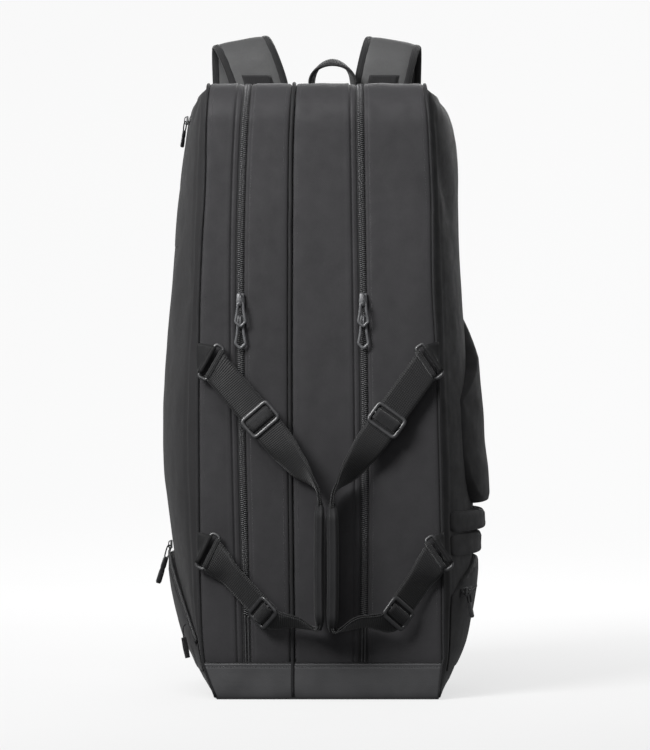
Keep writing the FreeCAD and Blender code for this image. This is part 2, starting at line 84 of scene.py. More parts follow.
def _ramp(nt, fac, low, high, a=0.3, b=0.7):
    r = nt.nodes.new("ShaderNodeValToRGB")
    r.color_ramp.elements[0].position = a
    r.color_ramp.elements[1].position = b
    r.color_ramp.elements[0].color = (*low, 1)
    r.color_ramp.elements[1].color = (*high, 1)
    nt.links.new(fac, r.inputs[0])
    return r.outputs[0]


def _noise(nt, coords, scale, detail=3.0, rough=0.55):
    n = nt.nodes.new("ShaderNodeTexNoise")
    n.inputs["Scale"].default_value = scale
    n.inputs["Detail"].default_value = detail
    n.inputs["Roughness"].default_value = rough
    nt.links.new(coords, n.inputs["Vector"])
    return n.outputs[0]


def _wave(nt, coords, direction, pitch, distortion=0.0):
    """Bands one pitch apart, in metres, along an axis of the coordinates."""
    w = nt.nodes.new("ShaderNodeTexWave")
    w.wave_type = "BANDS"
    w.bands_direction = direction
    w.wave_profile = "SIN"
    w.inputs["Scale"].default_value = 2 * math.pi / (20 * pitch)
    w.inputs["Distortion"].default_value = distortion
    nt.links.new(coords, w.inputs["Vector"])
    return w.outputs[1]


def _math(nt, op, a, b):
    m = nt.nodes.new("ShaderNodeMath")
    m.operation = op
    for i, x in enumerate((a, b)):
        if isinstance(x, (int, float)):
            m.inputs[i].default_value = x
        else:
            nt.links.new(x, m.inputs[i])
    return m.outputs[0]


def _bump(nt, bsdf, height, strength, distance, after=None):
    b = nt.nodes.new("ShaderNodeBump")
    b.inputs["Strength"].default_value = strength
    b.inputs["Distance"].default_value = distance
    nt.links.new(height, b.inputs["Height"])
    if after is not None:
        nt.links.new(after, b.inputs["Normal"])
    nt.links.new(b.outputs[0], bsdf.inputs["Normal"])
    return b.outputs[0]


def fabric(name, low, high, pitch=0.0011, sheen=0.25, bump=0.35):
    """Woven cloth: thread pattern, mottled dye, softly varying roughness and a little sheen."""
    m, nt, bsdf = _mat(name)
    tc = nt.nodes.new("ShaderNodeTexCoord")
    uv, obj = tc.outputs["UV"], tc.outputs["Object"]
    broad = _noise(nt, obj, 9.0, 4.0)
    fine = _noise(nt, obj, 420.0, 2.0)
    mixed = _math(nt, "ADD", _math(nt, "MULTIPLY", broad, 0.72), _math(nt, "MULTIPLY", fine, 0.28))
    nt.links.new(_ramp(nt, mixed, low, high, 0.32, 0.68), bsdf.inputs["Base Color"])
    across = _wave(nt, uv, "DIAGONAL", pitch, 0.6)
    along = _wave(nt, uv, "Y", pitch * 1.1, 0.4)
    weave = _math(nt, "ADD", _math(nt, "MULTIPLY", across, 0.6), _math(nt, "MULTIPLY", along, 0.4))
    height = _math(nt, "ADD", weave, _math(nt, "MULTIPLY", fine, 0.5))
    first = _bump(nt, bsdf, height, bump, 0.00025)
    _bump(nt, bsdf, _noise(nt, obj, 38.0, 4.0), 0.22, 0.0012, first)
    nt.links.new(_ramp(nt, _noise(nt, obj, 55.0, 3.0), (0.62,) * 3, (0.8,) * 3), bsdf.inputs["Roughness"])
    bsdf.inputs["Sheen Weight"].default_value = sheen
    bsdf.inputs["Sheen Roughness"].default_value = 0.45
    bsdf.inputs["Specular IOR Level"].default_value = 0.18
    return m


def webbing_mat(name, low, high, pitch):
    """Ribbed webbing: ribs across its width, finer yarns along it, and painted shade that makes the gaps
    between ribs darker.
    """
    m, nt, bsdf = _mat(name)
    tc = nt.nodes.new("ShaderNodeTexCoord")
    uv, obj = tc.outputs["UV"], tc.outputs["Object"]
    ribs = _wave(nt, uv, "X", pitch, 0.25)
    yarn = _wave(nt, uv, "Y", 0.0026, 0.3)
    mottled = _noise(nt, obj, 30.0, 3.0)
    # painted shade: the base colour is darker in the gaps between the ribs and between the yarns, where shade
    # falls; the mottling added on top is random tone
    painted_rib_gap_shade = _math(nt, "MULTIPLY", _math(nt, "MULTIPLY", ribs, yarn), 0.7)
    tone = _math(nt, "ADD", painted_rib_gap_shade, _math(nt, "MULTIPLY", mottled, 0.3))
    nt.links.new(_ramp(nt, tone, low, high, 0.12, 0.80), bsdf.inputs["Base Color"])
    height = _math(nt, "ADD", ribs, _math(nt, "MULTIPLY", yarn, 0.35))
    _bump(nt, bsdf, height, 0.75, 0.0005)
    nt.links.new(_ramp(nt, mottled, (0.55,) * 3, (0.75,) * 3), bsdf.inputs["Roughness"])
    bsdf.inputs["Sheen Weight"].default_value = 0.1
    bsdf.inputs["Specular IOR Level"].default_value = 0.2
    return m


def moulded(name, low, high, rough, metal=0.0):
    """Moulded acetal or painted metal: fine grain, faint scuffs and slightly paler edges."""
    m, nt, bsdf = _mat(name)
    tc = nt.nodes.new("ShaderNodeTexCoord")
    obj = tc.outputs["Object"]
    geo = nt.nodes.new("ShaderNodeNewGeometry")
    scuff = _noise(nt, obj, 160.0, 5.0, 0.7)
    edge = _math(nt, "MULTIPLY", geo.outputs["Pointiness"], 1.0)
    tone = _math(nt, "ADD", _math(nt, "MULTIPLY", scuff, 0.5), _math(nt, "MULTIPLY", edge, 0.5))
    nt.links.new(_ramp(nt, tone, low, high, 0.38, 0.62), bsdf.inputs["Base Color"])
    _bump(nt, bsdf, _noise(nt, obj, 900.0, 2.0), 0.15, 0.0002)
    nt.links.new(_ramp(nt, scuff, (rough[0],) * 3, (rough[1],) * 3), bsdf.inputs["Roughness"])
    bsdf.inputs["Metallic"].default_value = metal
    return m


def coated(name, low, high):
    """Coated tarpaulin: a low pebbled grain over a faint scrim."""
    m, nt, bsdf = _mat(name)
    tc = nt.nodes.new("ShaderNodeTexCoord")
    uv, obj = tc.outputs["UV"], tc.outputs["Object"]
    vor = nt.nodes.new("ShaderNodeTexVoronoi")
    vor.inputs["Scale"].default_value = 900.0
    nt.links.new(obj, vor.inputs["Vector"])
    scrim = _math(nt, "ADD", _wave(nt, uv, "X", 0.0016), _wave(nt, uv, "Y", 0.0016))
    tone = _noise(nt, obj, 26.0, 4.0)
    nt.links.new(_ramp(nt, tone, low, high), bsdf.inputs["Base Color"])
    height = _math(nt, "ADD", vor.outputs["Distance"], _math(nt, "MULTIPLY", scrim, 0.25))
    _bump(nt, bsdf, height, 0.25, 0.00025)
    nt.links.new(_ramp(nt, tone, (0.42,) * 3, (0.58,) * 3), bsdf.inputs["Roughness"])
    return m


M = {
    "shell": fabric("shell_cloth", (0.0118, 0.0115, 0.0124), (0.0172, 0.0167, 0.0180), sheen=0.10),
    "face": fabric("face_cloth", (0.0074, 0.0072, 0.0076), (0.0110, 0.0107, 0.0113), sheen=0.05),
    "lining": fabric("lining_cloth", (0.05, 0.05, 0.055), (0.075, 0.075, 0.08), sheen=0.1),
    "spine": fabric("spine_mesh_cloth", (0.007, 0.007, 0.0075), (0.013, 0.013, 0.014), 0.0024, bump=0.8),
    "strap": fabric("strap_cloth", (0.0310, 0.0312, 0.0315), (0.0435, 0.0437, 0.0441), 0.0009, 0.12),
    "binding": webbing_mat("binding_tape", (0.0025, 0.0025, 0.0028), (0.0090, 0.0090, 0.0098), 0.0014),
    "piping": fabric("piping_cloth", (0.0045, 0.0045, 0.0050), (0.0085, 0.0085, 0.0090), 0.0016, 0.06),
    "tape": webbing_mat("zip_tape", (0.0030, 0.0030, 0.0034), (0.0075, 0.0075, 0.0082), 0.0011),
    "web": webbing_mat("carry_webbing", (0.0006, 0.0006, 0.0007), (0.0110, 0.0110, 0.0117), 0.0025),
    "grip": fabric("grip_cloth", (0.0052, 0.0052, 0.0056), (0.0082, 0.0082, 0.0087), sheen=0.04),
    "boot": coated("boot_tarpaulin", (0.0158, 0.0158, 0.0168), (0.0218, 0.0218, 0.0232)),
    "thread": fabric("thread", (0.012, 0.012, 0.013), (0.024, 0.024, 0.0255), 0.0006, 0.15),
    "teeth": moulded("zip_teeth", (0.011, 0.011, 0.0116), (0.032, 0.032, 0.0332), (0.38, 0.52)),
    "slider": moulded("painted_slider", (0.022, 0.0224, 0.0238), (0.060, 0.0607, 0.0635), (0.38, 0.52), 0.2),
    "buckle": moulded("moulded_acetal", (0.0075, 0.0075, 0.0079), (0.022, 0.022, 0.0232), (0.34, 0.48)),
    "tab_cloth": fabric("tab_cloth", (0.0022, 0.0022, 0.0024), (0.0042, 0.0042, 0.0045), 0.0014, 0.04),
    "board": moulded("board_plastic", (0.03, 0.03, 0.03), (0.05, 0.05, 0.05), (0.5, 0.7)),
}


# ---------------------------------------------------------------- mesh helpers
def mesh_object(name, verts, faces, mat, uvs=None, smooth=True):
    me = bpy.data.meshes.new(name)
    me.from_pydata([tuple(v) for v in verts], [], faces)
    me.materials.append(M[mat] if isinstance(mat, str) else mat)
    if uvs is not None:
        layer = me.uv_layers.new(name="UVMap")
        uvs = np.asarray(uvs, float)
        loops = np.array([l.vertex_index for l in me.loops])
        layer.data.foreach_set("uv", uvs[loops].astype(np.float32).ravel())
    me.polygons.foreach_set("use_smooth", [smooth] * len(me.polygons))
    me.update()
    ob = bpy.data.objects.new(name, me)
    bpy.context.scene.collection.objects.link(ob)
    return ob


def arc_uv(grid):
    """Distances along and across a grid of points, in metres."""
    g = np.asarray(grid, float)
    du = np.zeros(g.shape[:2])
    dv = np.zeros(g.shape[:2])
    dv[1:, :] = np.linalg.norm(np.diff(g, axis=0), axis=2)
    du[:, 1:] = np.linalg.norm(np.diff(g, axis=1), axis=2)
    v = np.cumsum(dv.mean(1))
    u = np.cumsum(du, axis=1)
    return np.stack([u, np.repeat(v[:, None], g.shape[1], 1)], axis=2)


def turns(count):
    """Evenly spaced angles of a full turn."""
    return np.linspace(0, 2 * math.pi, count, endpoint=False)


def powered(x, power):
    """A number to a power with its sign kept, which squares off a round section."""
    return math.copysign(abs(x) ** power, x)


def square(way, line):
    """A direction made square to a line's direction."""
    return (way - line * way.dot(line)).normalized()


def along(points):
    """Each point of a line with the line's direction there."""
    before, after = points[:1] + points[:-1], points[1:] + points[-1:]
    return [(p, (b - a).normalized()) for p, a, b in zip(points, before, after)]


def framed(stations):
    """Each station as its point, its width direction square to the line, their normal, and its width."""
    out = []
    for (p, t), (_, w, width) in zip(along([st[0] for st in stations]), stations):
        w = square(w, t)
        out.append((p, w, t.cross(w), width))
    return out


def slab(name, outer, inner, mat):
    """A closed sheet between two grids of points of the same shape."""
    outer, inner = np.asarray(outer, float), np.asarray(inner, float)
    rows, cols = outer.shape[:2]
    verts = np.concatenate([outer.reshape(-1, 3), inner.reshape(-1, 3)])
    uv = arc_uv(outer).reshape(-1, 2)
    n = rows * cols
    faces = []
    for i in range(rows - 1):
        for j in range(cols - 1):
            a, b, c, d = i * cols + j, i * cols + j + 1, (i + 1) * cols + j + 1, (i + 1) * cols + j
            faces.append((a, b, c, d))
            faces.append((n + d, n + c, n + b, n + a))
    rim = [i * cols for i in range(rows)] + [(rows - 1) * cols + j for j in range(1, cols)]
    rim += [i * cols + cols - 1 for i in range(rows - 2, -1, -1)] + [j for j in range(cols - 2, 0, -1)]
    for a, b in zip(rim, rim[1:] + rim[:1]):
        faces.append((a, b, n + b, n + a))
    return fix_normals(mesh_object(name, verts, faces, mat, np.concatenate([uv, uv])))


def cloth_slab(name, us, vs, point, mat):
    """A slab whose outer and inner points at each u and v come from point(u, v)."""
    rows = [[point(u, v) for v in vs] for u in us]
    return slab(name, [[p for p, _ in row] for row in rows], [[q for _, q in row] for row in rows], mat)


def fix_normals(ob, merge=0.0):
    """Turns the faces outward; points closer than merge become one first."""
    bm = bmesh.new()
    bm.from_mesh(ob.data)
    if merge:
        bmesh.ops.remove_doubles(bm, verts=bm.verts, dist=merge)
    bmesh.ops.recalc_face_normals(bm, faces=bm.faces)
    bm.to_mesh(ob.data)
    bm.free()
    return ob


def sweep(name, sections, mat):
    """A solid through closed sections, each a list of points in order."""
    s = np.asarray(sections, float)
    rows, cols = s.shape[:2]
    wrapped = np.concatenate([s, s[:, :1]], axis=1)
    uv = arc_uv(wrapped)[:, :, ::-1]
    verts = wrapped.reshape(-1, 3)
    w = cols + 1
    faces = []
    for i in range(rows - 1):
        for j in range(cols):
            faces.append((i * w + j, i * w + j + 1, (i + 1) * w + j + 1, (i + 1) * w + j))
    faces.append(tuple(range(cols - 1, -1, -1)))
    faces.append(tuple((rows - 1) * w + j for j in range(cols)))
    return fix_normals(mesh_object(name, verts, faces, mat, uv.reshape(-1, 2)), 1e-7)


def catmull(points, per=6):
    """A smooth line through points."""
    p = [Vector(q) for q in points]
    p = [p[0] * 2 - p[1]] + p + [p[-1] * 2 - p[-2]]
    out = []
    for i in range(1, len(p) - 2):
        for k in range(per):
            t = k / per
            a, b, c, d = p[i - 1], p[i], p[i + 1], p[i + 2]
            out.append(0.5 * ((2 * b) + (c - a) * t + (2 * a - 5 * b + 4 * c - d) * t * t
                              + (3 * b - a - 3 * c + d) * t ** 3))
    out.append(p[-2])
    return out


def tube(name, points, radius, mat, sides=10):
    """A round bead along a line of points."""
    pts = [Vector(p) for p in points]
    side = (pts[1] - pts[0]).normalized().cross(Vector((0.31, 0.87, 0.21))).normalized()
    sections = []
    for p, t in along(pts):
        side = square(side, t)
        other = t.cross(side)
        sections.append([p + (side * math.cos(k) + other * math.sin(k)) * radius for k in turns(sides)])
    return sweep(name, sections, mat)


def ribbon(name, stations, thick, mat, crown=0.0006, ripple=0.0, seed=0.0, slanted=0):
    """Flat webbing with soft edges: stations are (point, width direction, width).

    The first few may be slanted: they keep their width direction as given."""
    sections = []
    k = np.linspace(-1, 1, 9)
    for i, ((_, w, width), (p, t)) in enumerate(zip(stations, along([st[0] for st in stations]))):
        if i >= slanted:
            w = square(w, t)
        n = t.cross(w).normalized()
        wave = ripple * noise.noise(Vector((i * 0.21 + seed, seed, 0.3)))
        half = [thick / 2 * (1 - 0.35 * q ** 6) for q in k]
        front = [p + w * (width / 2 * q) + n * (h + crown * (1 - q * q) + wave) for q, h in zip(k, half)]
        back = [p + w * (width / 2 * q) - n * (h - wave) for q, h in zip(k[::-1], half[::-1])]
        sections.append(front + back)
    return sweep(name, sections, mat)


def resample(stations, step=0.004):
    """Evenly spaced stations between the given ones, with their directions turned smoothly."""
    out = []
    for (p, w, d), (q, x, e) in zip(stations, stations[1:]):
        n = max(1, int(round((q - p).length / step)))
        for i in range(n):
            f = i / n
            g = f * f * (3 - 2 * f)
            out.append((p.lerp(q, f), (w * (1 - g) + x * g).normalized(), d + (e - d) * f))
    out.append(stations[-1])
    return out


def smooth_stations(stations, rounds=12):
    """Rounds the corners of a line of stations without moving its ends."""
    pts = [s[0].copy() for s in stations]
    dirs = [s[1].copy() for s in stations]
    for _ in range(rounds):
        pts[1:-1] = [(a + b * 2 + c) / 4 for a, b, c in zip(pts, pts[1:], pts[2:])]
        dirs[1:-1] = [(a + b * 2 + c).normalized() for a, b, c in zip(dirs, dirs[1:], dirs[2:])]
    return [(p, w, s[2]) for p, w, s in zip(pts, dirs, stations)]


def stitch_row(name, points, normals):
    """Lock stitches as short raised dashes along a line."""
    pitch, length, r = 0.0034, 0.0024, 0.00038
    pts = [Vector(p) for p in points]
    run = [0.0]
    for a, b in zip(pts, pts[1:]):
        run.append(run[-1] + (b - a).length)
    verts, faces = [], []
    count = int(run[-1] / pitch)
    xs = np.array([tuple(p) for p in pts])
    ns = np.array([tuple(n) for n in normals])
    for k in range(count):
        mid = (k + 0.5) * pitch
        ends = []
        for s in (mid - length / 2, mid, mid + length / 2):
            c = Vector([np.interp(s, run, xs[:, i]) for i in range(3)])
            n = Vector([np.interp(s, run, ns[:, i]) for i in range(3)]).normalized()
            ends.append((c, n))
        t = (ends[2][0] - ends[0][0]).normalized()
        base = len(verts)
        for (c, n), lift, grow in zip(ends, (0.0, 1.0, 0.0), (0.5, 1.0, 0.5)):
            b = t.cross(n).normalized()
            for sx, sn in ((-1, 0), (0, 1), (1, 0), (0, -1)):
                verts.append(c + b * (r * grow * sx) + n * (r * (sn * grow + 0.5 * lift)))
        for q in range(2):
            for j in range(4):
                o = base + q * 4
                faces.append((o + j, o + (j + 1) % 4, o + 4 + (j + 1) % 4, o + 4 + j))
        faces.append(tuple(base + j for j in (3, 2, 1, 0)))
        faces.append(tuple(base + 8 + j for j in range(4)))
    return mesh_object(name, verts, faces, "thread", [(v[0], v[2]) for v in verts])


def join(name, objects):
    """One object of several that move together; each keeps its material."""
    bpy.ops.object.select_all(action="DESELECT")
    for o in objects:
        o.select_set(True)
    bpy.context.view_layer.objects.active = objects[0]
    bpy.ops.object.join()
    objects[0].name = name
    return objects[0]


def on_shell(ob, side):
    """Rides with the core; a piece on a shell, which stays shut at the bag's foot, is left where it is."""
    if side == "core":
        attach(ob, "core")
    else:
        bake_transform(ob)


def placed(ob, node, body):
    """Stands in for a CAD node, and rides on a body."""
    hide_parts(node)
    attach(ob, body)


def box_of(node):
    """A node's low corner, high corner and centre."""
    lo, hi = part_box(node)
    return lo, hi, (lo + hi) / 2


# ---------------------------------------------------------------- the gusset's lines, read from the frame
def strip_edges(node):
    """x of a gusset strip's left and right edges against height, from the corners of the CAD strip."""
    co = np.array([v.co for v in NODES[node].data.vertices])
    front = co[co[:, 1] < co[:, 1].min() + 2e-4]
    top = co[co[:, 2] > co[:, 2].max() - 2e-4]
    foot = front[front[:, 2] < front[:, 2].min() + 2e-4]
    top_low, top_high = float(top[:, 0].min()), float(top[:, 0].max())
    middle = np.interp(front[:, 2], [foot[0, 2], TOP], [foot[:, 0].mean(), 0.5 * (top_low + top_high)])
    lines = []
    for keep, last in ((front[:, 0] < middle, top_low), (front[:, 0] > middle, top_high)):
        corners = {(round(float(z), 4), round(float(x), 5)) for x, _, z in front[keep]}
        z, x = np.array(sorted(corners | {(TOP, last)})).T
        smooth = np.linspace(z[0], z[-1], 160)
        line = np.interp(smooth, z, x)
        for _ in range(14):
            line[1:-1] = 0.25 * line[:-2] + 0.5 * line[1:-1] + 0.25 * line[2:]
        lines.append((smooth, line))
    (zl, xl), (zh, xh) = lines
    return lambda z: float(np.interp(z, zl, xl)), lambda z: float(np.interp(z, zh, xh))


def profile(depth, z0, y_end, steps, turn, top):
    """Points and outward normals up the front, round the turn and over the top, at a depth inside."""
    out = []
    for z in np.linspace(z0, TOP - TOP_R, steps):
        out.append((FRONT + depth, z, -1.0, 0.0))
    for a in np.linspace(0, math.pi / 2, turn)[1:]:
        r = TOP_R - depth
        ny, nz = -math.cos(a), math.sin(a)
        out.append((FRONT + TOP_R + r * ny, TOP - TOP_R + r * nz, ny, nz))
    for y in np.linspace(FRONT + TOP_R, y_end, top)[1:]:
        out.append((y, TOP - depth, 0.0, 1.0))
    return out


EDGE = {n: strip_edges(n) for n in ("left_outer_gusset", "left_inner_gusset", "right_inner_gusset",
                                    "right_outer_gusset")}
FOOT_Z = BOOT_TOP + 0.004
FOOT = {"left": ([0.0, 0.028], [-0.134, -0.145]), "right": ([0.0], [0.141])}


def pipe_x(side, z):
    """x of a seam line; under the boot's top the outer seams run in to the foot."""
    if side == "centre":
        return 0.5 * (EDGE["left_inner_gusset"][1](z) + EDGE["right_inner_gusset"][0](z))
    if side == "left":
        upper = EDGE["left_outer_gusset"][0](max(z, FOOT_Z)) - SEAM_OUT
    else:
        upper = EDGE["right_outer_gusset"][1](max(z, FOOT_Z)) + SEAM_OUT
    if z >= FOOT_Z:
        return upper
    zs, xs = FOOT[side]
    return float(np.interp(z, zs + [FOOT_Z], xs + [upper]))


PIPE = {seam: partial(pipe_x, seam) for seam in ("left", "centre", "right")}
ZIP = {"left": lambda z: 0.5 * (EDGE["left_outer_gusset"][1](z) + EDGE["left_inner_gusset"][0](z)),
       "right": lambda z: 0.5 * (EDGE["right_inner_gusset"][1](z) + EDGE["right_outer_gusset"][0](z))}


CREASE = 0.0124  # from the middle of a zip to the topstitched crease on its left
HEM = 0.0052  # from the middle of a zip to the folded cloth beside its teeth
ZIP_STOP = 0.105  # the teeth end at this height; below it the tape edges lie side by side


def strip_sides(node):
    """A strip's two edges: a seam on one side and the hem beside a zip's teeth on the other."""
    low, high = EDGE[node]
    side = node.split("_")[0]
    if node == "left_outer_gusset":
        return lambda z: low(z) - STRIP_OUT, lambda z: ZIP[side](z) - HEM
    if node == "right_inner_gusset":
        return low, lambda z: ZIP[side](z) - HEM
    out = STRIP_OUT if "outer" in node else 0.0
    return lambda z: ZIP[side](z) + HEM, lambda z: high(z) + out


def gusset_strip(node, body):
    """A strip of the front gusset, creased and topstitched beside its zip and sewn in at its seam."""
    low, high = strip_sides(node)
    side = node.split("_")[0]
    left_of_zip = node in ("left_outer_gusset", "right_inner_gusset")
    rows_out, rows_in = [], []
    steps = profile(0.0, STRIP_FOOT, GUSSET_BACK, 100, 22, 44)
    inner_steps = profile(0.0035, STRIP_FOOT, GUSSET_BACK, 100, 22, 44)
    for (y, z, ny, nz), (iy, iz, _, _) in zip(steps, inner_steps):
        x0, x1 = low(z), high(z)
        width = x1 - x0
        near = np.array([0, 0.0005, 0.0012, 0.0022, 0.0034, 0.0044, 0.0054, 0.0064, 0.0074, 0.0084, 0.0100])
        middle = np.linspace(0.014, width - 0.014, 12)
        out_row, in_row = [], []
        for d in np.concatenate([near, middle, (width - near)[::-1]]):
            x = x0 + d
            e = min(d, width - d)
            lift = 0.0010 * (1 - math.exp(-e / 0.006)) - 0.0016 * math.exp(-e / 0.0010)
            if left_of_zip:
                c = (ZIP[side](z) - CREASE) - x
                lift -= 0.0019 * math.exp(-(c / 0.0009) ** 2)
                lift += 0.0007 * math.exp(-((c - 0.0026) / 0.0018) ** 2)
                lift -= 0.0008 if c < 0 else 0.0
            else:
                lift -= 0.0006 * math.exp(-((d - 0.0040) / 0.0010) ** 2)
            lift -= 0.0026 * max(0.0, 1 - (z - STRIP_FOOT) / 0.010)
            lift += 0.0010 * noise.noise(Vector((x * 14, z * 5, y * 5))) * min(1, e / 0.02)
            lift += 0.0005 * noise.noise(Vector((x * 60, z * 22 + 7, y * 22))) * min(1, e / 0.01)
            out_row.append((x, y + ny * lift, z + nz * lift))
            in_row.append((x, iy, iz))
        rows_out.append(out_row)
        rows_in.append(in_row)
    ob = slab(node + "_cloth", rows_out, rows_in, "shell")
    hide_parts(node)
    lines = []
    insets = ((0, 0.0060), (1, HEM - CREASE - 0.0016)) if left_of_zip else ((0, 0.0056), (1, -0.0060))
    for s, inset in insets:
        pts, nrm = [], []
        for y, z, ny, nz in steps[8:]:
            x = (low(z) if s == 0 else high(z)) + inset
            pts.append(Vector((x, y + ny * 0.0004, z + nz * 0.0004)))
            nrm.append(Vector((0, ny, nz)))
        lines.append(stitch_row(f"{node}_stitches_{s}", pts, nrm))
    stitches = join(node + "_stitches", lines)
    for o in (ob, stitches):
        on_shell(o, body)


def piping(name, line, node, body):
    """A bead of piping along a seam; the edge beads are finer and sunk a little."""
    pts = []
    edge = body != "core"
    for y, z, ny, nz in profile(0.0012 if edge else 0.0, 0.004, GUSSET_BACK, 90, 22, 40):
        w = 0.0004 * noise.noise(Vector((z * 30, y * 30, 2.0)))
        pts.append(Vector((line(z) + w, y + ny * 0.0004, z + nz * 0.0004)))
    ob = tube(name, pts, 0.0021 if edge else 0.0024, "piping", 12)
    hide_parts(node)
    on_shell(ob, body)


# ---------------------------------------------------------------- zips
TOOTH = [(-0.0003, 0.00040), (0.0006, 0.00078), (0.0022, 0.00078), (0.0034, 0.00060),
         (0.0041, 0.00035)]  # how far from the zip's middle, and half the tooth's height there
TOOTH_PITCH = 0.0025


def zip_half(side, half):
    """One tape and its row of teeth; half is -1 for the tape at lower x."""
    line = ZIP[side]
    node = {("left", -1): "left_outer_zip", ("left", 1): "left_inner_zip",
            ("right", -1): "right_inner_zip", ("right", 1): "right_outer_zip"}[(side, half)]
    steps = profile(0.0, BOOT_TOP - 0.010, GUSSET_BACK, 120, 30, 60)
    across = [(0.0003, -0.0010), (0.0010, -0.0012), (0.0030, -0.0012), (0.0044, -0.0016), (0.0070, -0.0030),
              (0.0100, -0.0038), (0.0150, -0.0042)]
    outer, inner = [], []
    for y, z, ny, nz in steps:
        x = line(z)
        row = [(x + half * dx, y + ny * d, z + nz * d) for dx, d in across]
        back = [(x + half * dx, y + ny * (d - 0.0009), z + nz * (d - 0.0009)) for dx, d in across]
        outer.append(row if half > 0 else row[::-1])
        inner.append(back if half > 0 else back[::-1])
    tape = slab(node + "_tape", outer, inner, "tape")
    verts, faces = [], []
    ys = np.array(steps)
    run = np.concatenate([[0], np.cumsum(np.hypot(np.diff(ys[:, 0]), np.diff(ys[:, 1])))])
    for k in range(int(run[-1] / TOOTH_PITCH) - 1):
        s = (k + 0.5 + 0.25 * half) * TOOTH_PITCH
        y, z, ny, nz = (float(np.interp(s, run, ys[:, i])) for i in range(4))
        if z < ZIP_STOP:
            continue
        x = line(z)
        ty, tz = nz, -ny
        base = len(verts)
        for dx, hw in TOOTH:
            top = 0.0004 if dx < 0.0030 else (0.0 if dx < 0.0040 else -0.0009)
            for a, d in ((-1, -0.0016), (-0.8, top - 0.0003), (0, top), (0.8, top - 0.0003), (1, -0.0016)):
                verts.append((x + half * dx, y + ty * a * hw + ny * d, z + tz * a * hw + nz * d))
        for i in range(len(TOOTH) - 1):
            for j in range(4):
                o = base + i * 5 + j
                faces.append((o, o + 1, o + 6, o + 5))
        faces.append(tuple(base + j for j in range(5)))
        faces.append(tuple(base + 20 + j for j in range(5)))
    teeth = mesh_object(node + "_teeth", verts, faces, "teeth", [(v[0], v[2]) for v in verts])
    fix_normals(teeth)
    heights = np.linspace(BOOT_TOP + 0.001, ZIP_STOP, 24)
    end = [(line(z) + half * 0.0019, FRONT + 0.0008, z) for z in heights]
    teeth = join(node + "_teeth", [teeth, tube(node + "_end", end, 0.0007, "teeth", 8)])
    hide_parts(node)
    for o in (tape, teeth):
        on_shell(o, side if half == OUTWARD[side] else "core")


def local(ob, origin, x_axis, y_axis):
    """Places a mesh drawn about the origin, with X along x_axis and Y along y_axis."""
    x, y = Vector(x_axis).normalized(), Vector(y_axis).normalized()
    z = x.cross(y)
    co = [Vector(origin) + x * v.co.x + y * v.co.y + z * v.co.z for v in ob.data.vertices]
    for v, c in zip(ob.data.vertices, co):
        v.co = c
    ob.data.update()
    return fix_normals(ob)


def rod_loop(name, outline, r, mat, flat, sides=10):
    """A closed rounded bar that follows an outline of points in the XY plane."""
    pts = [Vector((x, y, 0)) for x, y in outline]
    rows = len(pts)
    verts, faces = [], []
    for i, p in enumerate(pts):
        t = (pts[(i + 1) % rows] - pts[i - 1]).normalized()
        side = Vector((t.y, -t.x, 0))
        verts += [p + side * (r * math.cos(k)) + Vector((0, 0, r * flat * math.sin(k))) for k in turns(sides)]
        after = (i + 1) % rows
        for j in range(sides):
            m = (j + 1) % sides
            faces.append((i * sides + j, i * sides + m, after * sides + m, after * sides + j))
    return mesh_object(name, verts, faces, mat, [(v[0], v[1]) for v in verts])


def box_outline(half_x, half_y, r, steps):
    """A rounded rectangle about the origin."""
    return rounded_rect(-half_x, half_x, -half_y, half_y, r, steps)


def rounded_outline(corners, r, steps=5):
    """Points round a polygon with each corner cut to a round of about r."""
    out = []
    n = len(corners)
    for i, c in enumerate(corners):
        c = Vector(c)
        a, b = Vector(corners[i - 1]), Vector(corners[(i + 1) % n])
        ra = min(r, (a - c).length * 0.45)
        rb = min(r, (b - c).length * 0.45)
        p, q = c + (a - c).normalized() * ra, c + (b - c).normalized() * rb
        for k in range(steps + 1):
            t = k / steps
            v = p * (1 - t) ** 2 + c * (2 * t * (1 - t)) + q * t * t
            out.append((v.x, v.y))
    return out


def box_mesh(name, half_x, half_y, half_z, mat):
    """A flat-sided block about the origin."""
    v = [(x, y, z) for z in (-half_z, half_z) for y in (-half_y, half_y) for x in (-half_x, half_x)]
    f = [(0, 2, 3, 1), (4, 5, 7, 6), (0, 1, 5, 4), (2, 6, 7, 3), (0, 4, 6, 2), (1, 3, 7, 5)]
    return mesh_object(name, v, f, mat, [(p[0], p[2]) for p in v], smooth=False)


def slider_piece(node):
    """A cast zip slider: shouldered body, side flanges and the bridge that holds the pull."""
    lo, hi, c = box_of(node)
    body = []
    for y, grow in ((0.0, 0.94), (0.0011, 1.0), (0.0031, 1.0), (0.0040, 0.86)):
        right = [(0.0046 * grow, 0.0079 * grow), (0.0050 * grow, 0.002), (0.0057 * grow, -0.003),
                 (0.0046 * grow, -0.0079 * grow)]
        left = [(-px, pz) for px, pz in right[::-1]]
        ring = rounded_outline([left[-1]] + right + left[:-1], 0.0016, 3)
        body.append([Vector((c.x + px, hi.y - y, c.z + pz)) for px, pz in ring])
    plate = sweep(node + "_plate", body, "slider")
    out = hi.y - lo.y - 0.0006
    arch = [(c.x, hi.y - y, c.z + z) for y, z in ((0.0036, 0.0068), (out * 0.82, 0.0052), (out, 0.0010),
                                                  (out, -0.0045), (out * 0.86, -0.0076), (0.0036, -0.0079))]
    bridge = tube(node + "_bridge", catmull(arch, 6), 0.0011, "slider", 10)
    placed(join(node + "_cast", [plate, bridge]), node, node)


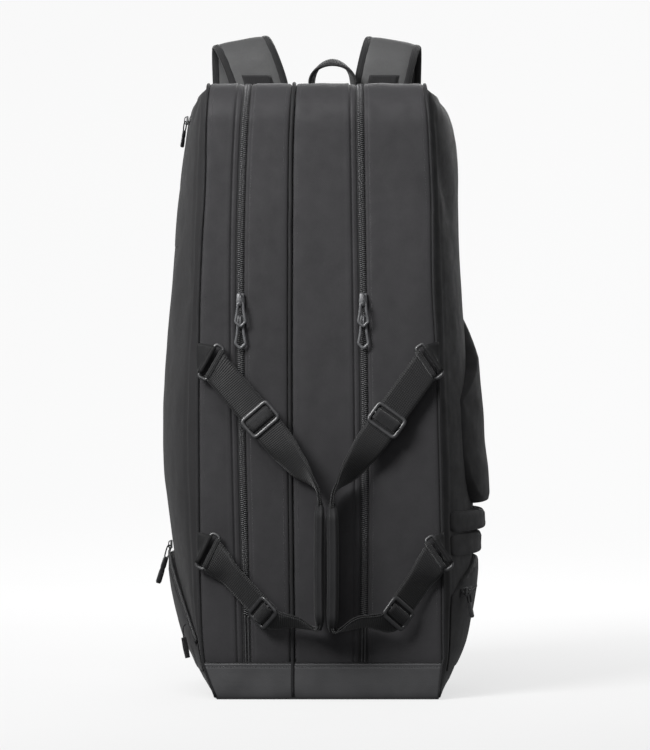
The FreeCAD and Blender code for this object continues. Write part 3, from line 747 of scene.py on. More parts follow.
def kite_pull(node):
    """The hollow kite-shaped pull, a rounded bar bent to shape."""
    lo, hi, c = box_of(node)
    h = hi.z - lo.z
    low = -h / 2 + 0.0070
    corners = [(-0.0032, h / 2 - 0.0012), (0.0032, h / 2 - 0.0012), (0.0040, 0.004), (0.0062, low),
               (0.0010, -h / 2 + 0.0018), (-0.0010, -h / 2 + 0.0018), (-0.0062, low), (-0.0040, 0.004)]
    ob = rod_loop(node + "_bar", rounded_outline(corners, 0.0016, 4), 0.00185, "slider", 0.60)
    local(ob, c, (1, 0, 0), (0, 0, 1))
    placed(ob, node, node)


# ---------------------------------------------------------------- face panels and pockets
def surface(node):
    """Finds a CAD node's outer surface along X at a place in the side view."""
    me = NODES[node].data
    tree = BVHTree.FromPolygons([v.co for v in me.vertices], [p.vertices for p in me.polygons])

    def at(side, y, z):
        hit = tree.ray_cast(Vector((side * 0.6, y, z)), Vector((-side, 0, 0)))[0]
        return None if hit is None else hit.x
    return at


FACE_AT = {"left": surface("left_face_panel"), "right": surface("right_face_panel")}


def face_outline_y(z):
    """The front and back limits of a face panel at a height."""
    y0, y1 = FRONT, BACK
    if z > TOP - TOP_R:
        y0 = FRONT + TOP_R - math.sqrt(max(0.0, TOP_R ** 2 - (z - TOP + TOP_R) ** 2))
    if z > TOP - REAR_R:
        y1 = BACK - REAR_R + math.sqrt(max(0.0, REAR_R ** 2 - (z - TOP + REAR_R) ** 2))
    if z < 0.02:
        d = 0.02 - math.sqrt(max(0.0, 0.02 ** 2 - (0.02 - z) ** 2))
        y0, y1 = y0 + d * 0.3, y1 - d * 0.3
    return y0, y1


def face_point(name, y, z):
    """A point of the panel's outer surface, from the frame, kept on the seam at its border."""
    side = OUTWARD[name]
    y0, y1 = face_outline_y(z)
    seam = PIPE[name](z)
    zz = min(max(z, 0.0075), TOP - 0.0060)
    yy = min(max(y, FRONT + 0.0052), BACK - 0.0008)
    x = FACE_AT[name](side, yy, zz)
    if x is None:
        x = seam
    e = min(y - y0, y1 - y, TOP - z, (z + 0.004) * 1.5)
    f = min(1.0, max(0.0, e / 0.016))
    f = math.sin(f * math.pi / 2) ** 0.9
    return seam + (x - seam) * f


def face_panel(name):
    """A padded side of the bag, creased beside its seam and swollen between its sewn borders."""
    side = OUTWARD[name]
    node = name + "_face_panel"
    zs = np.concatenate([[0.002, 0.006, 0.012, 0.02, 0.03], np.linspace(0.04, 0.70, 100),
                         TOP - TOP_R + TOP_R * np.sin(np.linspace(0, math.pi / 2, 22)[1:])])
    zs = zs[zs <= TOP - 0.0004]
    cols = (1 - np.cos(np.linspace(0, math.pi, 64))) / 2 * 0.6 + np.linspace(0, 1, 64) * 0.4
    outer, inner = [], []
    for z in zs:
        y0, y1 = face_outline_y(z)
        ro, ri = [], []
        for s in cols:
            y = y0 + (y1 - y0) * s
            e = min(y - y0, y1 - y, TOP - z, z + 0.01)
            x = face_point(name, y, z)
            soft = min(1.0, e / 0.03)
            x += side * (0.0022 * noise.noise(Vector((3.1 * side, y * 9, z * 6))) * soft
                         + 0.0009 * noise.noise(Vector((1.7 * side, y * 34, z * 26))) * soft)
            fold = 1 + 0.25 * noise.noise(Vector((side * 4.0, y * 7, z * 7)))
            x += side * (0.0016 * math.exp(-((e - 0.0125 * fold) / 0.0032) ** 2)
                         - 0.0016 * math.exp(-((e - 0.0185 * fold) / 0.0030) ** 2)) * min(1, z / 0.05)
            ro.append((x, y, z))
            inset = 0.0035
            yi = min(max(y, y0 + inset), y1 - inset)
            zi = min(max(z, 0.006), TOP - inset)
            ri.append((x - side * 0.0038, yi, zi))
        outer.append(ro)
        inner.append(ri)
    ob = slab(node + "_cloth", outer, inner, "face")
    inner_points = {tuple(np.round(p, 5)) for row in inner for p in row}

    def sewn(p):
        y0, y1 = face_outline_y(p[2])
        border = min(p[1] - y0, y1 - p[1], TOP - p[2], p[2] - 0.03) < 0.012
        return border or tuple(np.round(p, 5)) in inner_points

    inflate(ob, sewn, 0.8, 0.0022)
    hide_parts(node)
    on_shell(ob, name)
    return ob


def patch(name, node, side_name, outline, crowns, rim=0.002, seed=0.0, rows=46, cols=46, taper=None):
    """A padded pocket on a face panel, over an outline of (y, z) points, with steep sewn walls.

    crowns is a table of (z, thickness); taper scales it along y, else it is crowned front to back."""
    side = OUTWARD[side_name]
    heights, depths = zip(*crowns)
    pts = [Vector(p) for p in outline]
    centre = sum(pts, Vector((0, 0))) / len(pts)
    ring = []
    run = [0.0]
    closed = pts + [pts[0]]
    for a, b in zip(closed, closed[1:]):
        run.append(run[-1] + (b - a).length)
    arr = np.array([tuple(p) for p in closed])
    for k in range(cols * 2):
        s = run[-1] * k / (cols * 2)
        ring.append(Vector((np.interp(s, run, arr[:, 0]), np.interp(s, run, arr[:, 1]))))
    verts, uvs, faces = [], [], []
    levels = np.sin(np.linspace(0, math.pi / 2, rows // 2))
    y0, y1 = min(p[0] for p in outline), max(p[0] for p in outline)
    for f in levels[::-1]:
        for p in ring:
            v = centre + (p - centre) * f
            base = face_point(side_name, v.x, v.y)
            depth = float(np.interp(v.y, heights, depths))
            a = min(1.0, max(0.0, (v.x - y0) / (y1 - y0)))
            depth *= taper(v.x) if taper else math.sin(math.pi * a) ** 0.45
            edge = min(1.0, (1 - f) * (p - centre).length / 0.004)
            d = max(rim, depth) * math.sqrt(1 - (1 - edge) ** 2) if f < 0.999 else 0.0
            d += 0.0008 * noise.noise(Vector((seed, v.x * 30, v.y * 24))) * (1 - f ** 6)
            d += 0.0018 * noise.noise(Vector((seed + 3, v.x * 11, v.y * 9))) * (1 - f ** 4)
            verts.append((base + side * (0.0004 + d), v.x, v.y))
            uvs.append((v.x, v.y))
    n = len(ring)
    for q in range(len(levels) - 1):
        for j in range(n):
            faces.append((q * n + j, q * n + (j + 1) % n, (q + 1) * n + (j + 1) % n, (q + 1) * n + j))
    front = len(verts)
    for f in (1.0, 0.5, 0.0):
        for p in ring:
            v = centre + (p - centre) * f
            base = face_point(side_name, v.x, v.y)
            verts.append((base + side * 0.0001, v.x, v.y))
            uvs.append((v.x, v.y))
    for q in range(2):
        for j in range(n):
            o = front + q * n
            faces.append((o + j, o + n + j, o + n + (j + 1) % n, o + (j + 1) % n))
    for j in range(n):
        faces.append((j, front + j, front + (j + 1) % n, (j + 1) % n))
    ob = fix_normals(mesh_object(name, verts, faces, "face", uvs), 1e-5)
    if node:
        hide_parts(node)
    return ob


def inflate(ob, held, pressure, cap):
    """Swells a padded piece with a cloth simulation; held says which points are sewn down.

    No point moves further than the cap."""
    me = ob.data
    rest = np.array([tuple(v.co) for v in me.vertices])
    group = ob.vertex_groups.new(name="sewn")
    group.add([i for i, p in enumerate(rest) if held(p)], 1.0, "REPLACE")
    cloth = ob.modifiers.new("cloth", "CLOTH")
    cloth.settings.vertex_group_mass = "sewn"
    cloth.settings.quality = 5
    cloth.settings.mass = 0.25
    cloth.settings.effector_weights.gravity = 0
    cloth.settings.use_pressure = True
    cloth.settings.uniform_pressure_force = pressure
    cloth.collision_settings.use_collision = False
    cloth.point_cache.frame_start = 1
    cloth.point_cache.frame_end = SWELL_FRAMES
    scene = bpy.context.scene
    for frame_number in range(1, SWELL_FRAMES + 1):
        scene.frame_set(frame_number)
    moved = ob.evaluated_get(bpy.context.evaluated_depsgraph_get())
    shape = moved.to_mesh()
    after = np.array([tuple(v.co) for v in shape.vertices])
    moved.to_mesh_clear()
    shift = after - rest
    far = np.linalg.norm(shift, axis=1)
    shift *= np.minimum(1.0, cap / np.maximum(far, 1e-9))[:, None]
    ob.modifiers.remove(cloth)
    ob.vertex_groups.remove(group)
    scene.frame_set(1)
    me.vertices.foreach_set("co", (rest + shift).astype(np.float32).ravel())
    me.update()


def rounded_rect(u0, u1, v0, v1, r, steps=8):
    """A rounded rectangle between limits."""
    return rounded_outline([(u0, v0), (u1, v0), (u1, v1), (u0, v1)], r, steps)


def dense(points):
    """A closed outline with extra points on its long sides."""
    pts = [Vector(p) for p in points + points[:1]]
    out = []
    for a, b in zip(pts, pts[1:]):
        n = max(1, int((b - a).length / 0.004))
        out += [tuple(a.lerp(b, i / n)) for i in range(n)]
    return out + [tuple(pts[-1])]


def near_face(side_name, gap):
    """Tells whether a point lies on the face panel, where pockets are sewn down."""
    side = OUTWARD[side_name]
    return lambda p: side * (p[0] - face_point(side_name, p[1], p[2])) < gap


def pocket(name, side_name, outline, crowns, fill, **more):
    """A pocket in the frame, left in place on its shell."""
    ob = patch(name + "_cloth", name, side_name, outline, crowns, **more)
    inflate(ob, near_face(side_name, 0.0012), 2.0, 0.0016)
    on_shell(ob, side_name)


def pad_taper(y):
    """The rib pads run out to almost nothing at the front."""
    return float(np.interp(y, [-0.149, -0.030], [0.15, 1.0]))


def pocket_zip(name, side_name, line, lift, half=0.0052):
    """A covered coil zip along (y, z) points: a dark band with a raised coil on it."""
    side = OUTWARD[side_name]
    outer, inner, coil = [], [], []
    path = catmull([Vector((0, y, z)) for y, z in line], 8)
    for p, t in along(path):
        across = Vector((0, -t.z, t.y))
        ro, ri = [], []
        for k in np.linspace(-1, 1, 9):
            q = p + across * (half * k)
            x = face_point(side_name, q.y, q.z) + side * lift(q.y, q.z)
            ro.append((x + side * (0.0012 - 0.0006 * k * k), q.y, q.z))
            ri.append((x - side * 0.0006, q.y, q.z))
        outer.append(ro)
        inner.append(ri)
        x = face_point(side_name, p.y, p.z) + side * (lift(p.y, p.z) + 0.0012)
        coil.append(Vector((x, p.y, p.z)))
    band = slab(name + "_band", outer, inner, "tape")
    bead = tube(name + "_coil", coil, 0.0013, "binding", 8)
    on_shell(join(name, [band, bead]), side_name)


def tail(name, side_name, y, z, lift, length):
    """A webbing tail that hangs from the low end of a pocket zip."""
    side = OUTWARD[side_name]
    top = Vector((face_point(side_name, y, z) + side * lift, y, z))
    cord = [top, top + Vector((side * 0.0030, 0, -0.005)), top + Vector((side * 0.0024, 0, -0.017))]
    loop = tube(name + "_cord", catmull(cord, 5), 0.0009, "binding", 8)
    lean = Vector((-side * 0.20, 0.0, -1.0)).normalized()
    first = cord[-1]
    face_on = Vector((0.85, 0.5, 0)).normalized()
    st = [(first, face_on, 0.006), (first + lean * length * 0.5, face_on, 0.0072),
          (first + lean * length, face_on, 0.006)]
    tab = ribbon(name + "_tab", resample(st, 0.002), 0.0030, "binding", 0.0003)
    on_shell(join(name, [loop, tab]), side_name)


def side_slider(node, side_name):
    """A small zip slider on a face panel."""
    side = OUTWARD[side_name]
    lo, hi, c = box_of(node)
    x0 = hi.x if side < 0 else lo.x
    sections = []
    for d, grow in ((0.0, 0.92), (0.0008, 1.0), (0.0019, 1.0), (0.0026, 0.84)):
        ring = rounded_outline([(-0.0040 * grow, -0.0055 * grow), (0.0040 * grow, -0.0055 * grow),
                                (0.0034 * grow, 0.0055 * grow), (-0.0034 * grow, 0.0055 * grow)], 0.0014, 4)
        sections.append([Vector((x0 + side * d, c.y + p, c.z + q)) for p, q in ring])
    plate = sweep(node + "_plate", sections, "buckle")
    arch = [(x0 + side * d, c.y, c.z + z) for d, z in ((0.0022, 0.0046), (0.0044, 0.0030), (0.0050, -0.0018),
                                                       (0.0044, -0.0042), (0.0022, -0.0048))]
    bridge = tube(node + "_bridge", catmull(arch, 5), 0.0007, "buckle", 8)
    placed(join(node + "_cast", [plate, bridge]), node, node)


TAB = [(0.0, 0.0026, 0.0010), (0.06, 0.0038, 0.0014), (0.35, 0.0041, 0.0012), (0.45, 0.0035, 0.0011),
       (0.56, 0.0041, 0.0012), (0.92, 0.0042, 0.0013),
       (1.0, 0.0030, 0.0008)]  # a grip tab's place along itself, half width and half thickness


def side_pull(node, side_name):
    """A cord loop with a moulded grip tab that leans away from the face."""
    side = OUTWARD[side_name]
    pivot = Vector(JOINTS[node + "_swing"]["pos_m"])
    lo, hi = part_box(node)
    tip = Vector((lo.x + 0.0013 if side < 0 else hi.x - 0.0013, pivot.y, lo.z + 0.0006))
    d = (tip - pivot).normalized()
    turn = math.radians({"left_top_pull": 30, "left_low_pull": 58, "right_low_pull": 45}[node])
    square = d.cross(Vector((0, 1, 0))).normalized()
    across = Vector((0, 1, 0)) * math.cos(turn) + square * math.sin(turn)
    out = d.cross(across).normalized()
    reach = 0.0150 if node == "left_low_pull" else 0.0110
    right_half = [pivot + across * a + d * b for a, b in ((0.0014, -0.0001), (0.0028, 0.003),
                                                          (0.0026, reach - 0.002), (0.0014, reach + 0.001))]
    left_half = [p - across * (2 * (p - pivot).dot(across)) for p in right_half[::-1]]
    loop = right_half + left_half
    cord = tube(node + "_cord", catmull([loop[-1]] + loop, 5), 0.0009, "tab_cloth", 8)
    length = (tip - pivot).length
    sections = []
    for g, w, t in TAB:
        p = pivot + d * (reach + (length - reach) * g)
        sections.append([p + across * (w * math.cos(k)) + out * (t * math.sin(k))
                         for k in turns(14)])
    tab = sweep(node + "_tab", sections, "buckle")
    placed(join(node + "_corded", [cord, tab]), node, node)


# ---------------------------------------------------------------- carry handles
def ring_centres(side):
    """The middles of a side's upper and lower ring, from the frame."""
    co = np.array([v.co for v in NODES[side + "_rings"].data.vertices])
    mid = 0.5 * (co[:, 2].min() + co[:, 2].max())
    out = {}
    for level, part in (("upper", co[co[:, 2] > mid]), ("lower", co[co[:, 2] <= mid])):
        out[level] = Vector((part.min(0) + part.max(0)) / 2)
    return out


TILT = {("left", "upper"): 0.0, ("right", "upper"): 0.0, ("left", "lower"): -46.0, ("right", "lower"): 38.0}
GRIP_EDGE = {"upper": 0.013, "lower": 0.002}  # how far past the grip's end the webbing turns edge-on
RING_SLANT = math.radians(20)
RING_HALF_W, RING_HALF_L, RING_ROD = 0.0058, 0.0228, 0.0022


def run_of(side, level):
    """The straight run of webbing between a ring and its adjuster, from the frame."""
    u = Vector(JOINTS[f"{side}_{level}_adjuster_slide"]["axis"]).normalized()
    flat = u.cross(Vector((0, -1, 0))).normalized()
    n = flat.cross(u)
    a = math.radians(TILT[(side, level)])
    tilted = flat * math.cos(a) + n * math.sin(a)
    lo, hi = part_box(f"{side}_{level}_adjuster")
    normal = u.cross(tilted)
    if normal.y > 0:
        normal = -normal
    centre = (lo + hi) / 2 - normal * 0.0044
    return u, flat, tilted, normal, centre


def ring_axes(u, flat):
    """A ring's short and long directions; it hangs steeper than square to its webbing."""
    a = RING_SLANT * (1 if flat.z * u.z > 0 else -1)
    return u * math.cos(a) - flat * math.sin(a), flat * math.cos(a) + u * math.sin(a)


def bar_wrap(name, bar, short, long_way, width, r, thick, mat):
    """Cloth folded round a ring's bar, open on the side it comes from."""
    out = short.cross(long_way).normalized()
    st = [(bar - short * (r * math.cos(k)) + out * (r * math.sin(k)), long_way, width)
          for k in np.linspace(math.radians(35), math.radians(325), 22)]
    return ribbon(name, st, thick, mat, 0.0)


def handle_run(side, level, c, u, flat, turned, centre, grip_end, near):
    """The stations of the webbing's middle line, from the ring to inside the grip."""
    slant = math.cos(RING_SLANT)
    long_way = ring_axes(u, flat)[1]
    edge = Vector((0, -OUTWARD[side], 0))
    start = c + u * ((RING_HALF_W + 0.0012) / slant)
    leave = centre + u * (0.024 if level == "upper" else 0.015)
    sag = Vector((0, 0, -0.003 if level == "upper" else (0.006 if side == "left" else 0.010)))
    mid = leave.lerp(near, 0.5) + sag
    half = (turned * 0.5 + edge * 0.5).normalized()
    return [(start, long_way, 0.0378 / slant), (start + u * 0.008, (long_way + flat).normalized(), 0.0385),
            (start + u * 0.017, (flat + turned).normalized(), WEB_W), (start + u * 0.028, turned, WEB_W),
            (centre + u * 0.013, turned, WEB_W), (leave, turned, WEB_W), (mid, half, 0.0375),
            (near, edge, 0.036), (grip_end, edge, 0.030)]


def handle(side):
    """A carry handle: rings, doubled webbing, adjusters, grip and the tabs on the shell."""
    body = side + "_handle"
    centres = ring_centres(side)
    lo, hi, mid = box_of(side + "_grip")
    rings, webs = [], []
    for level in ("upper", "lower"):
        u, flat, tilted, normal, centre = run_of(side, level)
        c = centres[level]
        short, long_way = ring_axes(u, flat)
        outline = box_outline(RING_HALF_W, RING_HALF_L, 0.0042, 5)
        r = rod_loop(f"{side}_{level}_ring", outline, RING_ROD, "buckle", 0.95, 12)
        rings.append(local(r, c, short, long_way))
        end, past = (hi.z, 1) if level == "upper" else (lo.z, -1)
        grip_end = Vector((mid.x, mid.y, end - past * 0.012))
        near = Vector((mid.x, mid.y + 0.002, end + past * GRIP_EDGE[level]))
        line = handle_run(side, level, c, u, flat, tilted, centre, grip_end, near)
        st = smooth_stations(resample(line), 8)
        ways = [t for _, t in along([q[0] for q in st])]
        for layer, off, part in ((0, 0.0012, 0.99), (1, -0.0012, 1.0)):
            moved = [(p + t.cross(w).normalized() * off, w, d * part) for (p, w, d), t in zip(st, ways)]
            name = f"{side}_{level}_web_{layer}"
            webs.append(ribbon(name, moved, 0.0021, "web", 0.0003, 0.0004, layer + 2.0, 6))
        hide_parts(f"{side}_{level}_webbing")
        webs.append(bar_wrap(f"{side}_{level}_ring_wrap", c + short * RING_HALF_W, -short, long_way, 0.0395,
                             0.0031, 0.0014, "web"))
        adjuster(f"{side}_{level}_adjuster", u, tilted, normal, centre)
    for o in webs:
        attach(o, body)
    placed(join(side + "_ring_pair", rings), side + "_rings", body)
    grip(side, lo, hi)
    tabs(side, centres)


def adjuster(body, u, turned, normal, centre):
    """A three-bar slide with the webbing humped over its middle bar, and a dark sheet behind its frame that
    stands in for the shade in its slots.
    """
    c = centre + normal * 0.0032
    loop = rod_loop(body + "_frame", box_outline(0.0130, 0.0198, 0.0050, 6), 0.0025, "buckle", 0.72, 14)
    local(loop, c, u, turned)
    bar = tube(body + "_bar", [c - turned * 0.0192, c, c + turned * 0.0192], 0.0016, "buckle", 10)
    st = [(c + u * (0.0068 * math.sin(a)) + normal * (0.0034 * math.cos(a) - 0.0006), turned, 0.0335)
          for a in np.linspace(math.radians(-100), math.radians(100), 15)]
    hump = ribbon(body + "_hump", st, 0.0016, "binding", 0.0002)
    # painted shade: a dark sheet inside the frame, behind the slots, put in place of the shade there
    slot_shade_sheet = local(box_mesh(body + "_slot_shade_sheet", 0.0116, 0.0178, 0.0004, "binding"), c - normal * 0.0024, u, turned)
    hump = join(body + "_fold", [hump, slot_shade_sheet])
    ob = join(body + "_buckle", [loop, bar])
    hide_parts(body)
    for o, s in ((ob, "hardware"), (hump, "webbing")):
        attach(o, body)


def grip(side, lo, hi):
    """A padded sleeve folded round the webbing, with leaf-shaped ends and a closing seam."""
    c = (lo + hi) / 2
    a, b, h = (hi.x - lo.x) / 2, (hi.y - lo.y) / 2, (hi.z - lo.z) / 2
    flip = OUTWARD[side]
    sections, seam_line = [], []
    ends = np.linspace(0.78, 1, 14)
    for f in np.concatenate([-ends[::-1], np.linspace(-0.74, 0.74, 44), ends]):
        e = 1 - abs(f)
        narrow = 0.30 + 0.70 * math.sin(min(1, e / 0.26) * math.pi / 2) ** 0.8
        thin = 0.34 + 0.66 * math.sin(min(1, e / 0.24) * math.pi / 2) ** 0.8
        bow = flip * 0.0010 * math.cos(f * math.pi / 2)
        row = []
        for k in turns(44):
            px = powered(math.cos(k), 0.55) * a * thin
            py = powered(math.sin(k), 0.55) * b * narrow
            crease = math.exp(-((k - math.pi * 1.5) / 0.09) ** 2)
            z = c.z + h * f
            w = 1 + 0.06 * noise.noise(Vector((px * 90 + flip, z * 45, py * 50))) * min(1, e / 0.1)
            row.append((c.x + px * w + bow, c.y + py + 0.0016 * crease, z))
        sections.append(row)
        seam_line.append(Vector((c.x + bow + a * 0.62 * thin, c.y - b * 0.80 * narrow, c.z + h * f)))
    ob = sweep(side + "_grip_sleeve", sections, "grip")
    seam_line = seam_line[10:-10]
    facing = Vector((0.7, -0.7, 0)).normalized()
    trim = stitch_row(side + "_grip_stitches", seam_line, [facing] * len(seam_line))
    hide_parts(side + "_grip")
    for o in (ob, trim):
        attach(o, side + "_handle")


def tabs(side, centres):
    """The doubled cloth that runs from the edge seam round each ring's outer bar."""
    pieces = []
    out = Vector((0, -1, 0))
    for level in ("upper", "lower"):
        c = centres[level]
        short, long_way = ring_axes(*run_of(side, level)[:2])
        bar = c - short * RING_HALF_W
        root = Vector((PIPE[side](c.z), FRONT - 0.0012, bar.z + 0.004))
        inward = Vector((-OUTWARD[side], 0, 0))
        upright = Vector((0, 0, 1 if long_way.z > 0 else -1))
        between = (upright + long_way).normalized()
        for lift in (0.0026, -0.0026):
            st = [(root - inward * 0.001 + out * (lift * 0.2 + 0.001), upright, 0.034),
                  (root.lerp(bar, 0.45) + out * (lift * 0.5 + 0.001), between, 0.036),
                  (bar - short * 0.0022 + out * lift, long_way, WEB_W)]
            st = smooth_stations(resample(st, 0.0015), 4)
            name = f"{side}_{level}_tab_{lift > 0}"
            pieces.append(ribbon(name, st, 0.0012, "tab_cloth", 0.0002, slanted=99))
        pieces.append(bar_wrap(f"{side}_{level}_tab_fold", bar, short, long_way, WEB_W, 0.0029, 0.0010,
                               "tab_cloth"))
    ob = join(side + "_tabs", pieces)
    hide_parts(side + "_ring_tabs")
    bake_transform(ob)


# ---------------------------------------------------------------- top, spine and straps
STRAP_X = {"left": (-0.084, -0.114, -0.105), "right": (0.074, 0.092, 0.088)}
STRAP_PATH = [(0.00, 0.171, 0.766), (0.05, 0.171, 0.782), (0.30, 0.172, 0.806), (0.60, 0.178, 0.829),
              (0.85, 0.190, 0.844), (1.00, 0.205, 0.848), (1.02, 0.219, 0.841), (1.02, 0.227, 0.820),
              (0.98, 0.229, 0.785), (0.94, 0.224, 0.720), (0.88, 0.212, 0.620), (0.82, 0.201, 0.520),
              (0.76, 0.192, 0.420), (0.72, 0.188, 0.350)]
STRAP_W = 0.075
WEB_BOX = (0.782, 0.804)  # the heights between which webbing is sewn on a strap's front
YOKE_LOW, YOKE_TOP, YOKE_HALF = 0.690, 0.7632, 0.034
CORNER_LOW, CORNER_H = 0.058, 0.058
ANCHOR_OUT = 1.12  # the corner tabs stand this much further out than the straps' low ends


def strap_stations(side):
    """The strap's middle line, leaning inward where it leaves the bag and narrower at its low end."""
    x0, x1, _ = STRAP_X[side]
    line = catmull([(x0 + (x1 - x0) * f, y, z) for f, y, z in STRAP_PATH], 7)
    stations = []
    for i, p in enumerate(line):
        f = i / (len(line) - 1)
        lean = math.radians(10.0) * (1.0 if 0.12 < f < 0.5 else 0.3)
        width = STRAP_W - 0.020 * max(0.0, f - 0.9) / 0.1
        stations.append((p, Vector((math.cos(lean), 0, -OUTWARD[side] * math.sin(lean))), width))
    return smooth_stations(stations, 6)


def strap(side):
    """A shoulder strap: bound pad, sewn webbing box, ladder lock and the webbing down to its anchor."""
    s = OUTWARD[side]
    stations = strap_stations(side)
    k = np.linspace(-1, 1, 13)
    puff = [0.0042 * (1 - abs(q) ** 3.5) ** 0.6 + 0.0006 for q in k]
    sections = []
    for i, (p, w, n, width) in enumerate(framed(stations)):
        half = width / 2 - 0.004
        dent = 0.0005 * noise.noise(Vector((i * 0.3, s * 2.0, 1.0)))
        front = [p + w * (half * q) + n * (h + dent) for q, h in zip(k, puff)]
        back = [p + w * (half * q) - n * (h - dent) for q, h in zip(k[::-1], puff[::-1])]
        sections.append(front + back)
    pad = sweep(side + "_strap_pad", sections, "strap")
    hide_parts(side + "_shoulder_strap")
    bind = []
    for tag, e in (("a", -1), ("b", 1)):
        sections = []
        for p, w, n, width in framed(stations):
            c = p + w * (e * (width / 2 - 0.0060))
            sections.append([c + w * (0.0062 * math.cos(a)) + n * (0.0036 * math.sin(a)) for a in turns(14)])
        bind.append(sweep(f"{side}_strap_bind_{tag}", sections, "binding"))
    binding = join(side + "_strap_binding", bind)
    low_part = [q for q in stations[:int(len(stations) * 0.4)] if WEB_BOX[0] < q[0].z < WEB_BOX[1]]
    web = []
    for (p, w, _), (_, t) in zip(low_part, along([q[0] for q in stations])):
        n = t.cross(square(w, t))
        web.append((p + n * (-0.0052 if n.y > 0 else 0.0052), Vector((1, 0, 0)), 0.039))
    box = ribbon(side + "_strap_web_box", web, 0.0014, "binding", 0.0002, slanted=99)
    for o, slot_name in ((pad, "strap_fabric"), (binding, "webbing"), (box, "webbing")):
        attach(o, side + "_strap")
    c = box_of(side + "_ladder_lock")[2]
    loop = rod_loop(side + "_lock_frame", box_outline(0.0152, 0.0112, 0.003, 5), 0.0019, "buckle", 1.1, 10)
    local(loop, c, (1, 0, 0), (0, 0, 1))
    bars = []
    for i, z in enumerate((0.0035, -0.0045)):
        line = [c + Vector((x, y, z)) for x, y in ((-0.0145, 0), (0, 0.0006), (0.0145, 0))]
        bars.append(tube(f"{side}_lock_bar_{i}", line, 0.0018, "buckle", 8))
    placed(join(side + "_lock", [loop] + bars), side + "_ladder_lock", side + "_strap")
    top = Vector((c.x, c.y - 0.001, c.z + 0.006))
    low = Vector((STRAP_X[side][2] * ANCHOR_OUT, BACK + 0.0045, 0.098))
    mid = top.lerp(low, 0.45) + Vector((0, 0.004, 0))
    st = smooth_stations(resample([(p, Vector((1, 0, 0)), 0.0245) for p in (top, mid, low)]), 20)
    strip = ribbon(side + "_low_webbing", st, 0.0018, "web", 0.0002, 0.001, s * 3.0)
    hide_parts(side + "_strap_webbing")
    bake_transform(strip)


def anchors():
    """The sewn yokes and corner tabs that hold the shoulder straps on the spine."""
    pieces = []
    for side, (x0, _, x2) in STRAP_X.items():
        def yoke(z, x):
            e = min(x - x0 + YOKE_HALF, x0 + YOKE_HALF - x, z - YOKE_LOW + 0.001)
            return (x, BACK + 0.0018 + 0.0042 * min(1, max(0, e) / 0.008) ** 0.5, z), (x, BACK + 0.0002, z)

        def corner(f, q):
            x = x2 * ANCHOR_OUT + (0.020 - 0.007 * f) * q
            z = CORNER_LOW + CORNER_H * f
            return (x, BACK + 0.0044 - 0.0018 * abs(q) ** 4 - 0.0012 * (1 - f) ** 3, z), (x, BACK + 0.0002, z)

        heights, xs = np.linspace(YOKE_LOW, YOKE_TOP, 20), np.linspace(x0 - YOKE_HALF, x0 + YOKE_HALF, 20)
        pieces.append(cloth_slab(side + "_yoke", heights, xs, yoke, "binding"))
        up, out = np.linspace(0, 1, 14), np.linspace(-1, 1, 12)
        pieces.append(cloth_slab(side + "_corner_tab", up, out, corner, "web"))
    placed(join("strap_anchor_patches", pieces), "strap_anchors", "core")


def grab_handle():
    """The handle on the top: webbing from the seam with a soft sleeve round its arch."""
    lo, hi, c = box_of("grab_handle")
    half = (hi.x - lo.x) / 2 - 0.0045
    base, rise = lo.z, hi.z - lo.z - 0.0045
    line = [Vector((c.x - half, c.y, z)) for z in (TOP - 0.002, base, base + 0.010)]
    for a in np.linspace(math.pi, 0, 15):
        line.append(Vector((c.x + half * math.cos(a), c.y, base + 0.017 + (rise - 0.017) * math.sin(a))))
    line += [Vector((c.x + half, c.y, z)) for z in (base + 0.010, base, TOP - 0.002)]
    st = []
    for i, p in enumerate(line):
        e = min(i, len(line) - 1 - i)
        width = 0.022 if e < 1 else (0.023 if e < 3 else 0.025)
        across = (p.x - c.x) / half
        upward = math.sqrt(max(0.0, 1 - across * across))
        st.append((p, Vector((-0.30 * across, 1, 0.42 * upward)).normalized(), width))
    st = smooth_stations(resample(st, 0.003), 5)
    inner = ribbon("grab_webbing", st, 0.0026, "web", 0.0003)
    mid = [q for q in st if q[0].z > base + 0.012]
    sections = []
    for i, ((p, w, _), (_, t)) in enumerate(zip(mid, along([q[0] for q in mid]))):
        n = t.cross(w).normalized()
        f = i / (len(mid) - 1)
        thick = 0.0026 * min(1.0, 0.6 + min(f, 1 - f) / 0.12)
        sections.append([p + w * (0.0125 * powered(math.cos(k), 0.7)) + n * (thick * powered(math.sin(k), 0.8))
                         for k in turns(24)])
    placed(sweep("grab_sleeve", sections, "web"), "grab_handle", "grab_handle")
    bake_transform(inner)


def spine():
    """The back panel with two ribbed pads."""
    inner_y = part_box("spine_panel")[0].y + 0.0004

    def point(z, s):
        x0, x1 = PIPE["left"](z) + 0.001, PIPE["right"](z) - 0.001
        x = x0 + (x1 - x0) * s
        y = BACK + 0.0006 * min(1, min(x - x0, x1 - x, z - 0.004, TOP - z) / 0.01)
        if 0.20 < z < 0.66:
            rib = abs(((z - 0.205) / 0.045) % 1.0 - 0.5)
            for pad_c in (-0.062, 0.062):
                sideways = abs(x - (x0 + x1) / 2 - pad_c) / 0.038
                q = max(0.0, 1 - sideways ** 4) * max(0.0, 1 - (abs(z - 0.43) / 0.225) ** 8)
                y += 0.0042 * q ** 0.5 - 0.0024 * q * math.exp(-((rib - 0.5) / 0.09) ** 2)
        y += 0.0005 * noise.noise(Vector((x * 20, 4.0, z * 20)))
        return (x, y, z), (x, inner_y, z)

    heights = np.linspace(0.006, TOP - 0.002, 110)
    ob = cloth_slab("spine_padding", heights, np.linspace(0, 1, 60), point, "spine")
    placed(ob, "spine_panel", "core")


